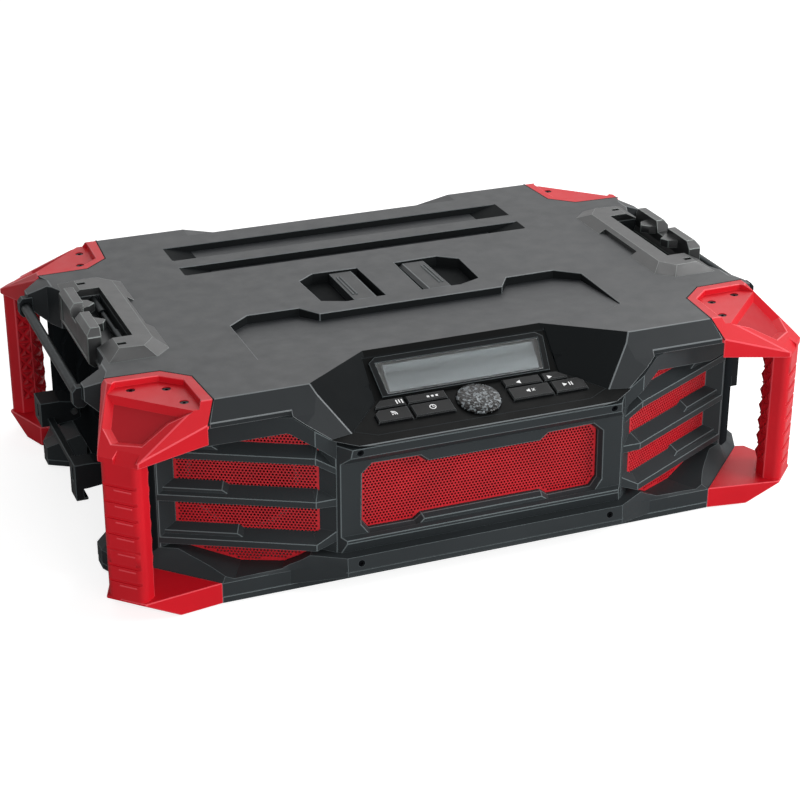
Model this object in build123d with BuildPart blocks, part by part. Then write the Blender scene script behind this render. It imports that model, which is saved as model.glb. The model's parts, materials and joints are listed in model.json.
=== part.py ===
from build123d import *
from math import hypot, sqrt
import os

# Jobsite radio in a stackable case. Millimetres: X to the right, Y to the back, Z up.
# The origin is on the ground under the middle of the case.

# ---------------------------------------------------------------- case heights
foot_height = 2.0
skid_top = 7.0
seam_gap = 0.4
tray_floor_top = 10.4
skirt_top = 18.0
tray_top = 32.0
seam_z = 140.5
deck_z = 158.2
wall = 3.0
joint_gap = 0.3
running_gap = 0.05
panel_gap = 0.2

# ---------------------------------------------------------------- deck outline
deck_half_y = 166.0
deck_side_x = 248.0
deck_side_y = 82.0
apron_run = 12.0
apron_end_run = 7.7
apron_band = 4.0
guard_seat = [(195.0, -166.0), (197.8, -123.6), (216.5, -106.5), (256.5, -105.1)]

# ---------------------------------------------------------------- shell outline
front_y = -181.0
shell_side_x = 239.0
shell_rear_y = 172.0
shell_rear_x = 200.0
shell_rear_corner_y = 133.0
post_side_x = 249.0
post_inner_y = 98.0
post_low_z = 20.0

# ---------------------------------------------------------------- speaker bays
bay_inner = (129.0, -187.0)
bay_outer = (231.0, -133.0)
bay_side_y = -121.0
bay_depth = 10.0
mesh_thickness = 1.2
mesh_start_u = -1.0
mesh_end_u = 104.0
window_end_u = 114.0
window_top = [(-16.0, 105.0), (0.0, 118.5), (19.0, 128.5), (93.0, 111.2), (114.0, 111.2)]
bay_floor = [(-1.0, 36.0), (12.1, 27.6), (25.6, 20.8), (57.2, 19.5), (91.8, 28.7), (104.0, 33.0)]
blade_tops = [109.6, 75.1, 40.6]
blade_end_tops = [99.4, 75.7, 50.1]
blade_end_lows = [94.2, 69.6, 41.9]
blade_face = 5.2
blade_rise = 6.2
blade_rib_starts = [70.0, 64.0, 54.0]
blade_rib_height = 2.6
blade_rib_ramp = 4.0
speaker_u = 55.0
speaker_z = 85.0
speaker_opening_r = 41.0

# ---------------------------------------------------------------- centre grille
grille_frame_z = (32.0, 117.5)
grille_outline = [
    (44.8, 92.1), (51.1, 97.4), (86.7, 98.1), (93.4, 92.1),
    (94.0, 53.2), (88.6, 45.9), (53.6, 45.5), (47.8, 49.9),
]
pillar_half_x = 113.0
pillar_front_y = -188.0
window_reach = 50.0
blade_edge = 1.0
frame_front_y = -190.0
lip_front_y = -199.5
lip_z = 117.8

# ---------------------------------------------------------------- console
recess_back_y = -126.2
recess_fold = (-155.5, 131.1)
lip_top_z = 120.0
recess_corner = (70.6, -126.2)
recess_front = (126.5, -167.0)
recess_sink = (-24.5, -17.5, -33.2)
console_half = [(73.0, -130.5), (73.0, -157.0), (99.5, -183.6), (83.5, -191.3)]
console_thickness = 2.5
bezel_proud = 2.3
bezel_half = [(64.0, -7.6), (69.5, -11.5), (66.5, -39.0)]
lens_half = [(64.5, -12.4), (61.5, -36.8)]
lens_thickness = 1.5
lens_lift = 0.3
module_half_x = 59.6
module_depth = 8.0
key_height = 2.2
key_travel = 1.0
key_side_gap = 0.35
key_edge = 0.8
knob_x = 1.5
knob_q = 18.0
knob_r = 17.0
knob_height = 4.0
knob_shaft_r = 3.0

# ---------------------------------------------------------------- corner guards
guard_low_z = 124.5
guard_seat_low_z = 128.4
guard_neck_d = (269.3, 309.0)
guard_floor_z = 153.5
guard_front = (255.3, -186.0)
guard_side = (277.9, -163.3)
guard_inner = (202.2, -175.8)
slope_start_d = 268.0
slope_start_z = 154.2
tip_d = 312.0
tip_z = 128.6
dish_rim = [(268.6, 27.0), (281.0, 42.0), (300.0, 52.5), (302.5, 75.0), (293.0, 87.5), (268.6, 98.0)]
dish_depth = 4.5
dish_wall_run = 5.0
notch_t = (51.0, 68.5)
notch_profile = [(304.3, 133.6), (309.6, 128.2), (312.6, 123.5)]
throat_run = (29.2, 46.8)
bar_inner_d = 291.0
bar_width = 31.5
bar_centre_t = 65.2
bar_round = 6.0
bar_relief = 8.0
foot_top_z = 18.7
foot_under_d = 290.5
foot_under_z = 17.0
foot_diagonal = [(197.0, -176.8), (255.0, -118.8)]
skirt_side_x = 265.0
skirt_side_y = 97.0
side_recess_x = 229.0
side_recess_y = 62.0
side_recess_ramp = 22.0
screw_spots = [(241.8, -120.8), (217.8, -127.7), (212.4, -153.5)]
screw_head_r = 3.4
screw_head_height = 1.6
screw_sink = 2.2
screw_shank_r = 1.8
screw_length = 10.4

# ---------------------------------------------------------------- deck details
groove_depth = 6.0
step_depth = 6.0
pocket_depth = 9.0
latch_frame_top = 164.0
latch_well_y = 50.0
latch_well_x = 221.0
latch_well_z = 148.0
lever_half_y = 46.0
lever_top_z = 170.5
lever_pivot = (247.0, 145.0)
lever_pin_r = 2.5
roller_axis = (226.0, 154.0)
roller_r = 3.5

# ---------------------------------------------------------------- side gear
rod_axis = (272.0, 141.0)
rod_r = 3.9
shoulder_plan = [(230.0, 66.0), (248.0, 69.5), (254.8, 84.4), (270.0, 89.0), (270.0, 98.0), (258.0, 104.8), (230.0, 104.8)]
shoulder_profile = [(252.0, 158.2), (270.0, 150.5), (270.0, 139.5), (254.0, 125.5), (239.3, 125.5), (230.0, 141.0), (230.0, 158.2)]
rod_half_y = 86.0
arm_thickness = 7.0
stack_pivot = (251.0, 71.0)
stack_pin_r = 2.5
stack_arm_rear = (33.0, 56.0)
stack_arm_front = (-80.0, -63.0)
stack_lug_rear = (58.0, 70.0)
stack_lug_front = (-94.0, -82.0)
stack_arm_half = 10.0
stack_reach_x = 277.0

# ---------------------------------------------------------------- battery bay
bay_box_half_x = 62.0
bay_box_z = (46.0, 114.0)
bay_box_front_y = 100.0
bay_box_wall = 2.5
panel_half_x = 155.0
panel_z = (40.0, 130.0)
panel_thickness = 2.6
door_half_x = 66.0
door_z = (42.0, 118.0)
door_depth = 15.0
door_wall = 2.5
door_pivot_x = 71.0
door_knuckle_r = 4.0
door_pin_r = 1.5

root_half = sqrt(0.5)


# ---------------------------------------------------------------- helpers
def both_sides(half):
    """Closed outline from the points of its right half."""
    return half + [(-x, y) for x, y in reversed(half)]


def four_ways(quarter):
    """Closed outline from its front right quarter, front first."""
    right = quarter + [(x, -y) for x, y in reversed(quarter)]
    return both_sides(right)


def widened(outline, distance):
    """Outline with every side moved out by a distance, or in where it is negative."""
    count = len(outline)
    area = sum(
        outline[i - 1][0] * outline[i][1] - outline[i][0] * outline[i - 1][1] for i in range(count)
    )
    turn = 1 if area > 0 else -1
    moved = []
    for i in range(count):
        before, here, after = outline[i - 1], outline[i], outline[(i + 1) % count]
        run_in = hypot(here[0] - before[0], here[1] - before[1])
        run_out = hypot(after[0] - here[0], after[1] - here[1])
        in_x, in_y = (here[0] - before[0]) / run_in, (here[1] - before[1]) / run_in
        out_x, out_y = (after[0] - here[0]) / run_out, (after[1] - here[1]) / run_out
        share = turn * distance / (1 + in_x * out_x + in_y * out_y)
        moved.append((here[0] + share * (in_y + out_y), here[1] - share * (in_x + out_x)))
    return moved


def upright(outline, low, high):
    """Solid on a plan outline between two heights."""
    with BuildPart() as solid:
        with BuildSketch(Plane.XY.offset(low)):
            Polygon(*outline, align=None)
        extrude(amount=high - low)
    return solid.part


def along_x(outline, low, high):
    """Solid with a (Y, Z) outline between two X stations."""
    with BuildPart() as solid:
        with BuildSketch(Plane.YZ.offset(low)):
            Polygon(*outline, align=None)
        extrude(amount=high - low)
    return solid.part


def along_y(outline, low, high):
    """Solid with an (X, Z) outline between two Y stations."""
    with BuildPart() as solid:
        with BuildSketch(Plane.XZ.offset(-high)):
            Polygon(*outline, align=None)
        extrude(amount=high - low)
    return solid.part


def on_plane(plane, outline, low, high):
    """Solid with an outline drawn on a plane, between two offsets from it."""
    with BuildPart() as solid:
        with BuildSketch(plane.offset(low)):
            Polygon(*outline, align=None)
        extrude(amount=high - low)
    return solid.part


def block(x_range, y_range, z_range):
    """Rectangular solid from its three ranges."""
    corners = [
        (x_range[0], y_range[0]), (x_range[1], y_range[0]),
        (x_range[1], y_range[1]), (x_range[0], y_range[1]),
    ]
    return upright(corners, z_range[0], z_range[1])


def rod_y(x, z, radius, low, high):
    """Round bar along Y."""
    with BuildPart() as solid:
        with BuildSketch(Plane.XZ.offset(-high)):
            with Locations((x, z)):
                Circle(radius)
        extrude(amount=high - low)
    return solid.part


def rod_z(x, y, radius, low, high):
    """Round bar along Z."""
    with BuildPart() as solid:
        with BuildSketch(Plane.XY.offset(low)):
            with Locations((x, y)):
                Circle(radius)
        extrude(amount=high - low)
    return solid.part


def common(first, second):
    """The space that two solids share."""
    with BuildPart() as solid:
        add(first)
        add(second, mode=Mode.INTERSECT)
    return solid.part


def joined(solids):
    """One part from several solids."""
    with BuildPart() as solid:
        for item in solids:
            add(item)
    return solid.part


def less(solid, cutters):
    """A solid with others taken away."""
    with BuildPart() as rest:
        add(solid)
        for item in cutters:
            add(item, mode=Mode.SUBTRACT)
    return rest.part


def flip_x(solid):
    """Mirror image on the other side of the case."""
    return mirror(solid, about=Plane.YZ)


def flip_y(solid):
    """Mirror image at the other end of the case."""
    return mirror(solid, about=Plane.XZ)


os.makedirs("parts", exist_ok=True)


def keep(part, name):
    """Label a finished piece and write it."""
    part.label = name
    export_step(part, f"parts/{name}.step")


# ---------------------------------------------------------------- shared planes
bay_length = hypot(bay_outer[0] - bay_inner[0], bay_outer[1] - bay_inner[1])
bay_dir = ((bay_outer[0] - bay_inner[0]) / bay_length, (bay_outer[1] - bay_inner[1]) / bay_length)
bay_out = (bay_dir[1], -bay_dir[0])
bay_plane = Plane(
    origin=(bay_inner[0], bay_inner[1], 0),
    x_dir=(bay_dir[0], bay_dir[1], 0),
    z_dir=(bay_out[0], bay_out[1], 0),
)
corner_plane = Plane(origin=(0, 0, 0), x_dir=(1, -1, 0), z_dir=(-1, -1, 0))

shelf_run = hypot(recess_fold[0] - lip_front_y, recess_fold[1] - lip_top_z)
shelf_in = (lip_front_y - recess_fold[0]) / shelf_run
shelf_down = (lip_top_z - recess_fold[1]) / shelf_run
shelf_plane = Plane(
    origin=(0, recess_fold[0], recess_fold[1]),
    x_dir=(1, 0, 0),
    z_dir=(0, shelf_down, -shelf_in),
)
screen_run = hypot(recess_back_y - recess_fold[0], deck_z - recess_fold[1])
screen_in = (recess_fold[0] - recess_back_y) / screen_run
screen_down = (recess_fold[1] - deck_z) / screen_run
screen_plane = Plane(
    origin=(0, recess_back_y, deck_z),
    x_dir=(1, 0, 0),
    z_dir=(0, screen_down, -screen_in),
)


def bay_point(u, w):
    """Plan point at distance u along the bay and w out of its face."""
    x = bay_inner[0] + bay_dir[0] * u + bay_out[0] * w
    y = bay_inner[1] + bay_dir[1] * u + bay_out[1] * w
    return (x, y)


def corner_point(d, t):
    """Plan point at distance d out along the corner diagonal and t across it."""
    return ((d + t) * root_half, (t - d) * root_half)


# The shell's bay wall lies just behind the mesh, from the front wall to the side wall.
bay_back_w = -bay_depth - mesh_thickness
bay_wall_start = bay_point(0, bay_back_w)
front_half_x = bay_wall_start[0] + (front_y - bay_wall_start[1]) * bay_dir[0] / bay_dir[1]
shell_bay_y = bay_wall_start[1] + (shell_side_x - bay_wall_start[0]) * bay_dir[1] / bay_dir[0]


def screen_height(y):
    """Height of the sloping screen floor at a depth."""
    return deck_z + (y - recess_back_y) * (deck_z - recess_fold[1]) / (recess_back_y - recess_fold[0])


def shelf_height(y):
    """Height of the key shelf at a depth."""
    return recess_fold[1] + (y - recess_fold[0]) * (recess_fold[1] - lip_top_z) / (recess_fold[0] - lip_front_y)


# ---------------------------------------------------------------- base
skid_front_y = foot_diagonal[0][1]
skirt_outline = four_ways([*foot_diagonal, (skirt_side_x, -skirt_side_y)])
skid_outline = four_ways([
    *foot_diagonal, (skirt_side_x, -skirt_side_y), (skirt_side_x, -side_recess_y - side_recess_ramp),
    (side_recess_x, -side_recess_y),
])
tray_nose_x = 110.0
tray_nose_end_x = 146.0
tray_nose_y = -200.0
tray_under_z = 17.5

keep(upright(skid_outline, foot_height, skid_top), "bottom_plate")

tray_low = [(tray_nose_x, tray_nose_y), (tray_nose_end_x, skid_front_y), *foot_diagonal, (skirt_side_x, -skirt_side_y)]
tray_ledge = 1.0
tray_high_front = [
    (tray_nose_x, tray_nose_y + tray_ledge), bay_point(2, 0), bay_point(70, 0), bay_outer,
    (shell_side_x + tray_ledge, -skirt_side_y),
]
tray_high_rear = [
    (shell_side_x + tray_ledge, skirt_side_y), (shell_side_x + tray_ledge, shell_rear_corner_y + tray_ledge),
    (shell_rear_x + tray_ledge, shell_rear_y + tray_ledge), (tray_nose_end_x, shell_rear_y + 5 * tray_ledge),
    (tray_nose_x, -tray_nose_y - tray_ledge),
]
tray_nose_plan = upright(four_ways([(tray_nose_x, tray_nose_y), (tray_nose_end_x, skid_front_y)]), 0, tray_top)
tray_nose_side = [
    (skid_front_y, skid_top), (tray_nose_y, tray_under_z), (tray_nose_y, skirt_top),
    (-tray_nose_y, skirt_top), (-tray_nose_y, tray_under_z), (-skid_front_y, skid_top),
]
tray_nose = common(tray_nose_plan, along_x(tray_nose_side, -tray_nose_end_x, tray_nose_end_x))
tray_slab = upright(skirt_outline, skid_top + seam_gap, skirt_top)
with BuildPart() as tray_rise:
    with BuildSketch(Plane.XY.offset(skirt_top)):
        Polygon(*four_ways(tray_low), align=None)
    with BuildSketch(Plane.XY.offset(tray_top)):
        Polygon(*both_sides(tray_high_front + tray_high_rear), align=None)
    loft(ruled=True)

shell_half = [
    (front_half_x, front_y), (shell_side_x, shell_bay_y),
    (shell_side_x, shell_rear_corner_y), (shell_rear_x, shell_rear_y),
]
shell_outline = both_sides(shell_half)
with BuildPart() as case_hollow:
    with BuildSketch(Plane.XY.offset(tray_floor_top)):
        Polygon(*widened(shell_outline, -wall), align=None)
    extrude(amount=deck_z - tray_floor_top)

seam_groove_depth = 0.8
seam_drop = 11.0
groove_ring = less(
    block((-tray_nose_end_x, tray_nose_end_x), (tray_nose_y - 1, -tray_nose_y + 1),
          (tray_top - seam_drop - seam_gap, tray_top - seam_drop)),
    [block((-tray_nose_end_x, tray_nose_end_x),
           (tray_nose_y + seam_groove_depth, -tray_nose_y - seam_groove_depth), (0, tray_top))],
)
case_screw_x = 99.5
case_screw_z = 26.3
case_screw_head_r = 2.6
case_screw_sink = 2.4
boss_top = 18.0
boss_r = 3.5
board_x = (-80.0, 90.0)
board_y = (-40.0, 70.0)
boss_spots = [(x, y) for x in (board_x[0] + 6, board_x[1] - 6) for y in (board_y[0] + 6, board_y[1] - 6)]
bay_floor_air = on_plane(
    bay_plane, [*bay_floor, (bay_floor[-1][0], tray_top + 1), (bay_floor[0][0], tray_top + 5)],
    bay_back_w, window_reach,
)
# Between the corners each side of the base is drawn in.
recess_side = [
    (side_recess_x, 0), (side_recess_x, skirt_top), (shell_side_x + tray_ledge / 2, tray_top),
    (skirt_side_x + 2, tray_top), (skirt_side_x + 2, 0),
]
recess_space = common(
    upright([(side_recess_x, side_recess_y), (skirt_side_x + 1, side_recess_y + side_recess_ramp),
             (skirt_side_x + 1, -side_recess_y - side_recess_ramp), (side_recess_x, -side_recess_y)], 0, tray_top),
    along_y(recess_side, -skirt_side_y, skirt_side_y),
)
recess_wall_x = side_recess_x - wall
recess_wall = along_y(
    [(recess_wall_x, tray_floor_top), (shell_side_x, tray_floor_top), (shell_side_x, tray_top),
     (shell_side_x - wall, tray_top), (recess_wall_x, skirt_top)], -side_recess_y - wall, side_recess_y + wall
)
with BuildPart() as base_tray:
    add(tray_slab)
    add(tray_nose)
    add(tray_rise.part)
    add(bay_floor_air, mode=Mode.SUBTRACT)
    add(flip_x(bay_floor_air), mode=Mode.SUBTRACT)
    add(case_hollow.part, mode=Mode.SUBTRACT)
    add(recess_wall)
    add(flip_x(recess_wall))
    add(recess_space, mode=Mode.SUBTRACT)
    add(flip_x(recess_space), mode=Mode.SUBTRACT)
    add(groove_ring, mode=Mode.SUBTRACT)
    with BuildSketch(Plane.XZ.offset(-tray_nose_y - case_screw_sink)):
        with Locations((case_screw_x, case_screw_z), (-case_screw_x, case_screw_z)):
            Circle(case_screw_head_r)
    extrude(amount=case_screw_sink + 2, mode=Mode.SUBTRACT)
    with BuildSketch(Plane.XY.offset(tray_floor_top)):
        with Locations(*boss_spots):
            Circle(boss_r)
    extrude(amount=boss_top - tray_floor_top)
keep(base_tray.part, "base_tray")

foot_spots = [(150, 140), (150, -140), (-150, 140), (-150, -140)]
foot_r = 13.0
foot_chamfer = 0.8
with BuildPart() as feet:
    with BuildSketch():
        with Locations(*foot_spots):
            Circle(foot_r)
    extrude(amount=foot_height)
    chamfer(feet.edges().group_by(Axis.Z)[0], length=foot_chamfer)
keep(feet.part, "rubber_feet")

# ---------------------------------------------------------------- console lip
nose_end_x = 142.0
nose_back_y = -150.0
nose_knee = (-192.8, 122.4)
nose_corner_x = 116.5
nose_flat_x = 86.6


# The cover dips round the console; nose_room is the space that the shell leaves for it.
nose_side = [
    (nose_back_y, deck_z), (-deck_half_y, deck_z), (-deck_half_y - apron_run, seam_z),
    nose_knee, (lip_front_y, lip_top_z), (lip_front_y, lip_z), (nose_back_y, lip_z),
]
nose_face = both_sides([
    (nose_end_x, deck_z), (nose_end_x, seam_z), (nose_corner_x, nose_knee[1]), (nose_flat_x, lip_z),
])
nose = common(along_x(nose_side, -nose_end_x, nose_end_x), along_y(nose_face, lip_front_y, nose_back_y))
nose_room = along_y(
    both_sides([
        (nose_end_x + joint_gap, deck_z), (nose_end_x + joint_gap, seam_z - joint_gap),
        (nose_corner_x, nose_knee[1] - joint_gap), (nose_flat_x, lip_z - joint_gap),
    ]),
    2 * lip_front_y, nose_back_y,
)

# ---------------------------------------------------------------- body shell
grille_open_x = 84.0
grille_open_z = (52.0, 92.0)
rear_open_x = 140.0
rear_open_z = (44.0, 126.0)
with BuildPart() as body_shell:
    with BuildSketch(Plane.XY.offset(tray_top)):
        Polygon(*shell_outline, align=None)
        Polygon(*widened(shell_outline, -wall), align=None, mode=Mode.SUBTRACT)
    extrude(amount=seam_z - tray_top)
    add(nose_room, mode=Mode.SUBTRACT)
    with BuildSketch(Plane.XZ.offset(-front_y - wall - 1)):
        with Locations((0, sum(grille_open_z) / 2)):
            Rectangle(2 * grille_open_x, grille_open_z[1] - grille_open_z[0])
    extrude(amount=wall + 2, mode=Mode.SUBTRACT)
    with BuildSketch(Plane.XZ.offset(-shell_rear_y - 1)):
        with Locations((0, sum(rear_open_z) / 2)):
            Rectangle(2 * rear_open_x, rear_open_z[1] - rear_open_z[0])
    extrude(amount=wall + 2, mode=Mode.SUBTRACT)

with BuildPart() as bay_hole:
    with BuildSketch(bay_plane.offset(bay_back_w - wall - 4)):
        with Locations((speaker_u, speaker_z)):
            Circle(speaker_opening_r)
    extrude(amount=wall + 6)

# Lugs on each side wall carry the lower latch.
lug_profile = [
    (shell_side_x, stack_pivot[1] - 16), (stack_pivot[0] + 3, stack_pivot[1] - 7),
    (stack_pivot[0] + 6, stack_pivot[1]), (stack_pivot[0] + 3, stack_pivot[1] + 7),
    (shell_side_x, stack_pivot[1] + 13),
]
lug_bore = rod_y(stack_pivot[0], stack_pivot[1], stack_pin_r, -skirt_side_y, skirt_side_y)
side_lugs = less(
    joined([along_y(lug_profile, *stack_lug_rear), along_y(lug_profile, *stack_lug_front)]), [lug_bore]
)
side_rib_profile = [(shell_side_x, 84), (shell_side_x + 9, 92), (shell_side_x + 9, 112), (shell_side_x, 128)]
side_rib = joined([
    along_y(side_rib_profile, 20, 26), along_y(side_rib_profile, -26, -20),
    along_y(side_rib_profile, 70, 76), along_y(side_rib_profile, -76, -70),
])
shell_solid = less(body_shell.part, [bay_hole.part, flip_x(bay_hole.part)])

# Slanted posts widen the case behind each handle.
post_run = post_side_x - shell_side_x
front_post = upright([
    bay_outer, (post_side_x, bay_outer[1] + post_side_x - bay_outer[0]), (post_side_x, -post_inner_y - post_run / 2),
    (shell_side_x, -post_inner_y), (shell_side_x, bay_side_y),
], post_low_z, seam_z)
rear_post = upright([
    (shell_side_x, post_inner_y), (post_side_x, post_inner_y + post_run / 2),
    (post_side_x, shell_rear_corner_y - post_run), (shell_side_x, shell_rear_corner_y),
], post_low_z, seam_z)
posts = less(joined([front_post, rear_post]), [base_tray.part])
side_gear = joined([side_lugs, side_rib, posts])
shell_done = joined([shell_solid, side_gear, flip_x(side_gear)])

seal_width = 1.4
seal_height = 1.0
with BuildPart() as seal_ring:
    with BuildSketch(Plane.XY.offset(seam_z - seal_height)):
        Polygon(*widened(shell_outline, -(wall - seal_width) / 2), align=None)
        Polygon(*widened(shell_outline, -(wall + seal_width) / 2), align=None, mode=Mode.SUBTRACT)
    extrude(amount=seal_height)
    add(nose_room, mode=Mode.SUBTRACT)
keep(less(shell_done, [seal_ring.part]), "body_shell")
keep(seal_ring.part, "lid_seal")

# ---------------------------------------------------------------- top cover
deck_quarter = [guard_seat[0], guard_seat[1], guard_seat[2], guard_seat[3], (deck_side_x, -deck_side_y)]
deck_outline = four_ways(deck_quarter)
apron_share = 1 - apron_band / (deck_z - seam_z)
apron_reach = deck_half_y + apron_run * apron_share
apron_side = both_sides([(apron_reach, seam_z), (apron_reach, seam_z + apron_band), (deck_half_y, deck_z)])
apron_end_x = guard_seat[0][0] + apron_end_run * apron_share
apron_face = both_sides([
    (guard_seat[0][0], deck_z), (apron_end_x, seam_z + apron_band), (apron_end_x, seam_z),
])
apron = common(
    along_x(apron_side, -apron_end_x, apron_end_x),
    along_y(apron_face, -apron_reach, apron_reach),
)
apron = less(apron, [block((-apron_end_x, apron_end_x), (-deck_half_y, deck_half_y), (seam_z, deck_z))])

rear_notch_side = [
    (150, deck_z), (deck_half_y + 5, 148.4), (deck_half_y + 20, 148.4), (deck_half_y + 20, deck_z),
]
rear_notch_face = both_sides([(120.7, deck_z), (86.9, 148.4)])
rear_notch = common(along_x(rear_notch_side, -130, 130), along_y(rear_notch_face, 140, deck_half_y + 20))

groove_back = along_y(
    both_sides([(149, deck_z), (125, deck_z - groove_depth)]), 98, 127.7
)
groove_front = along_y(
    both_sides([(148.5, deck_z), (122, deck_z - groove_depth - 0.5)]), 63.6, 81.4
)
step_outline = both_sides([
    (75.7, -49.4), (86.6, -32.8), (127.8, -32.3), (145.5, -46.9), (145.5, -113.4), (125.4, -126.7),
])
step_front_y = -126.7
step_back_y = -49.4
step_slope = step_depth / (step_back_y - step_front_y)
step_air = [
    (step_front_y, deck_z), (-20, deck_z - step_slope * (-20 - step_front_y)), (-20, deck_z + 5),
    (step_front_y, deck_z + 5),
]
step_cut = common(upright(step_outline, deck_z - 2 * step_depth, deck_z + 4), along_x(step_air, -150, 150))
pocket_outline = [
    (15.1, -31.9), (47.6, -32.9), (66.1, -25.4), (68.2, 19.1), (53.2, 30.8), (15.9, 29.7),
]
pocket_cut = upright(pocket_outline, deck_z - pocket_depth, deck_z)

# The hollow under the deck stops short of every recess in it.
hollow_quarter = [
    (110, -118), (140, -150), (160, -150), (187, -139), (192, -121), (211, -102), (217, -98),
]
hollow_outline = both_sides(
    hollow_quarter + [(217, 98), (211, 102), (192, 121), (187, 144)]
)
pocket_keep = upright(widened(pocket_outline, wall), deck_z - pocket_depth - wall, deck_z)
step_keep = upright(widened(step_outline, wall), deck_z - step_depth - wall - 1, deck_z)
groove_keep_z = (deck_z - groove_depth - wall - 0.5, deck_z)
deck_hollow = less(
    upright(hollow_outline, seam_z, deck_z - wall),
    [
        pocket_keep, flip_x(pocket_keep), step_keep,
        block((-149 - wall, 149 + wall), (98 - wall, 127.7 + wall), groove_keep_z),
        block((-149 - wall, 149 + wall), (63.6 - wall, 81.4 + wall), groove_keep_z),
    ],
)

# The air over the console: each half is a prism sunk along the line where its two walls meet.
rim_dir = (0.991, -0.134)
rim_reach = 70.0
air_half = [
    (-12, recess_corner[1] + 12), (recess_corner[0], recess_corner[1] + 12), recess_corner, recess_front,
    (recess_front[0] + rim_dir[0] * rim_reach, recess_front[1] + rim_dir[1] * rim_reach),
    (recess_front[0] + rim_dir[0] * rim_reach, -260), (-12, -260),
]
with BuildPart() as air_right:
    with BuildSketch(Plane.XY.offset(deck_z)):
        Polygon(*air_half, align=None)
    extrude(amount=56, dir=recess_sink)
    with BuildSketch(Plane.XY.offset(deck_z)):
        Polygon(*air_half, align=None)
    extrude(amount=5)
air_profile = [
    (recess_back_y + 12, screen_height(recess_back_y + 12)), recess_fold, (lip_front_y, lip_top_z),
    (lip_front_y - 40, shelf_height(lip_front_y - 40)), (lip_front_y - 40, deck_z + 11),
    (recess_back_y + 12, deck_z + 12),
]
console_air = common(
    joined([air_right.part, flip_x(air_right.part)]), along_x(air_profile, -200, 200)
)
console_hole = upright(both_sides(console_half), lip_z - 5, deck_z)

latch_well = joined([
    block((latch_well_x, skirt_side_x), (-latch_well_y, latch_well_y), (latch_well_z, deck_z + 1)),
    block((shell_side_x + 0.6, skirt_side_x), (-latch_well_y, latch_well_y), (seam_z - 1, deck_z)),
])
pin_reach = latch_well_y + 7
pin_bores = joined([
    rod_y(lever_pivot[0] - 1.0, lever_pivot[1], lever_pin_r, -pin_reach, pin_reach),
    rod_y(roller_axis[0], roller_axis[1], roller_r, -pin_reach, pin_reach),
])

# A shoulder on each side of the latch carries one end of the side rod.
rear_shoulder = less(
    common(along_y(shoulder_profile, shoulder_plan[0][1], shoulder_plan[-1][1]), upright(shoulder_plan, 120, deck_z)),
    [block((0, shell_side_x), (0, shell_rear_y), (120, seam_z)), shell_done],
)
shoulders = joined([rear_shoulder, less(flip_y(rear_shoulder), [shell_done])])
with BuildPart() as top_cover:
    with BuildSketch(Plane.XY.offset(seam_z)):
        Polygon(*deck_outline, align=None)
    extrude(amount=deck_z - seam_z)
    add(apron)
    add(nose)
    add(shoulders)
    add(flip_x(shoulders))
    for cutter in (console_air, console_hole, groove_back, groove_front, step_cut, rear_notch, deck_hollow):
        add(cutter, mode=Mode.SUBTRACT)
    for cutter in (pocket_cut, latch_well, pin_bores):
        add(cutter, mode=Mode.SUBTRACT)
        add(flip_x(cutter), mode=Mode.SUBTRACT)
keep(top_cover.part, "top_cover")

# ---------------------------------------------------------------- centre grille and its frame
frame_half_z = (grille_frame_z[0], grille_frame_z[1])
frame_flare = 2.5
frame_recess = 3.0
frame_profile = [
    (front_y, frame_half_z[0]), (frame_front_y, frame_half_z[0]), (frame_front_y - 4.5, 41.0),
    (frame_front_y - 4.5, 43.5), (frame_front_y, 45.0), (frame_front_y, 103.0),
    (lip_front_y + 2.0, 110.0), (lip_front_y + 0.5, frame_half_z[1]), (front_y, frame_half_z[1]),
]
frame_plan = both_sides([(104.0, -201.0), (pillar_half_x, pillar_front_y), (front_half_x - panel_gap, front_y)])
frame_body = common(along_x(frame_profile, -125, 125), upright(frame_plan, 0, deck_z))
with BuildPart() as grille_window:
    with BuildSketch(Plane.XZ.offset(-front_y)):
        Polygon(*both_sides(grille_outline), align=None)
    extrude(amount=20)
    with BuildSketch(Plane.XZ.offset(-front_y + mesh_thickness + frame_recess)):
        Polygon(*both_sides(grille_outline), align=None)
    with BuildSketch(Plane.XZ.offset(-frame_front_y + 0.5)):
        Polygon(*widened(both_sides(grille_outline), frame_flare), align=None)
    loft(ruled=True)
lip_screw_z = 114.0
with BuildPart() as lip_screw_holes:
    with BuildSketch(Plane.XZ.offset(-lip_front_y - case_screw_sink - 1)):
        with Locations((case_screw_x, lip_screw_z), (-case_screw_x, lip_screw_z)):
            Circle(case_screw_head_r)
    extrude(amount=10)
grille_frame = less(frame_body, [grille_window.part, lip_screw_holes.part, nose_room, tray_rise.part])
keep(grille_frame, "grille_frame")

with BuildPart() as centre_grille:
    with BuildSketch(Plane.XZ.offset(-front_y)):
        Polygon(*widened(both_sides(grille_outline), -panel_gap), align=None)
    extrude(amount=mesh_thickness)
keep(centre_grille.part, "centre_grille")

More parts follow.
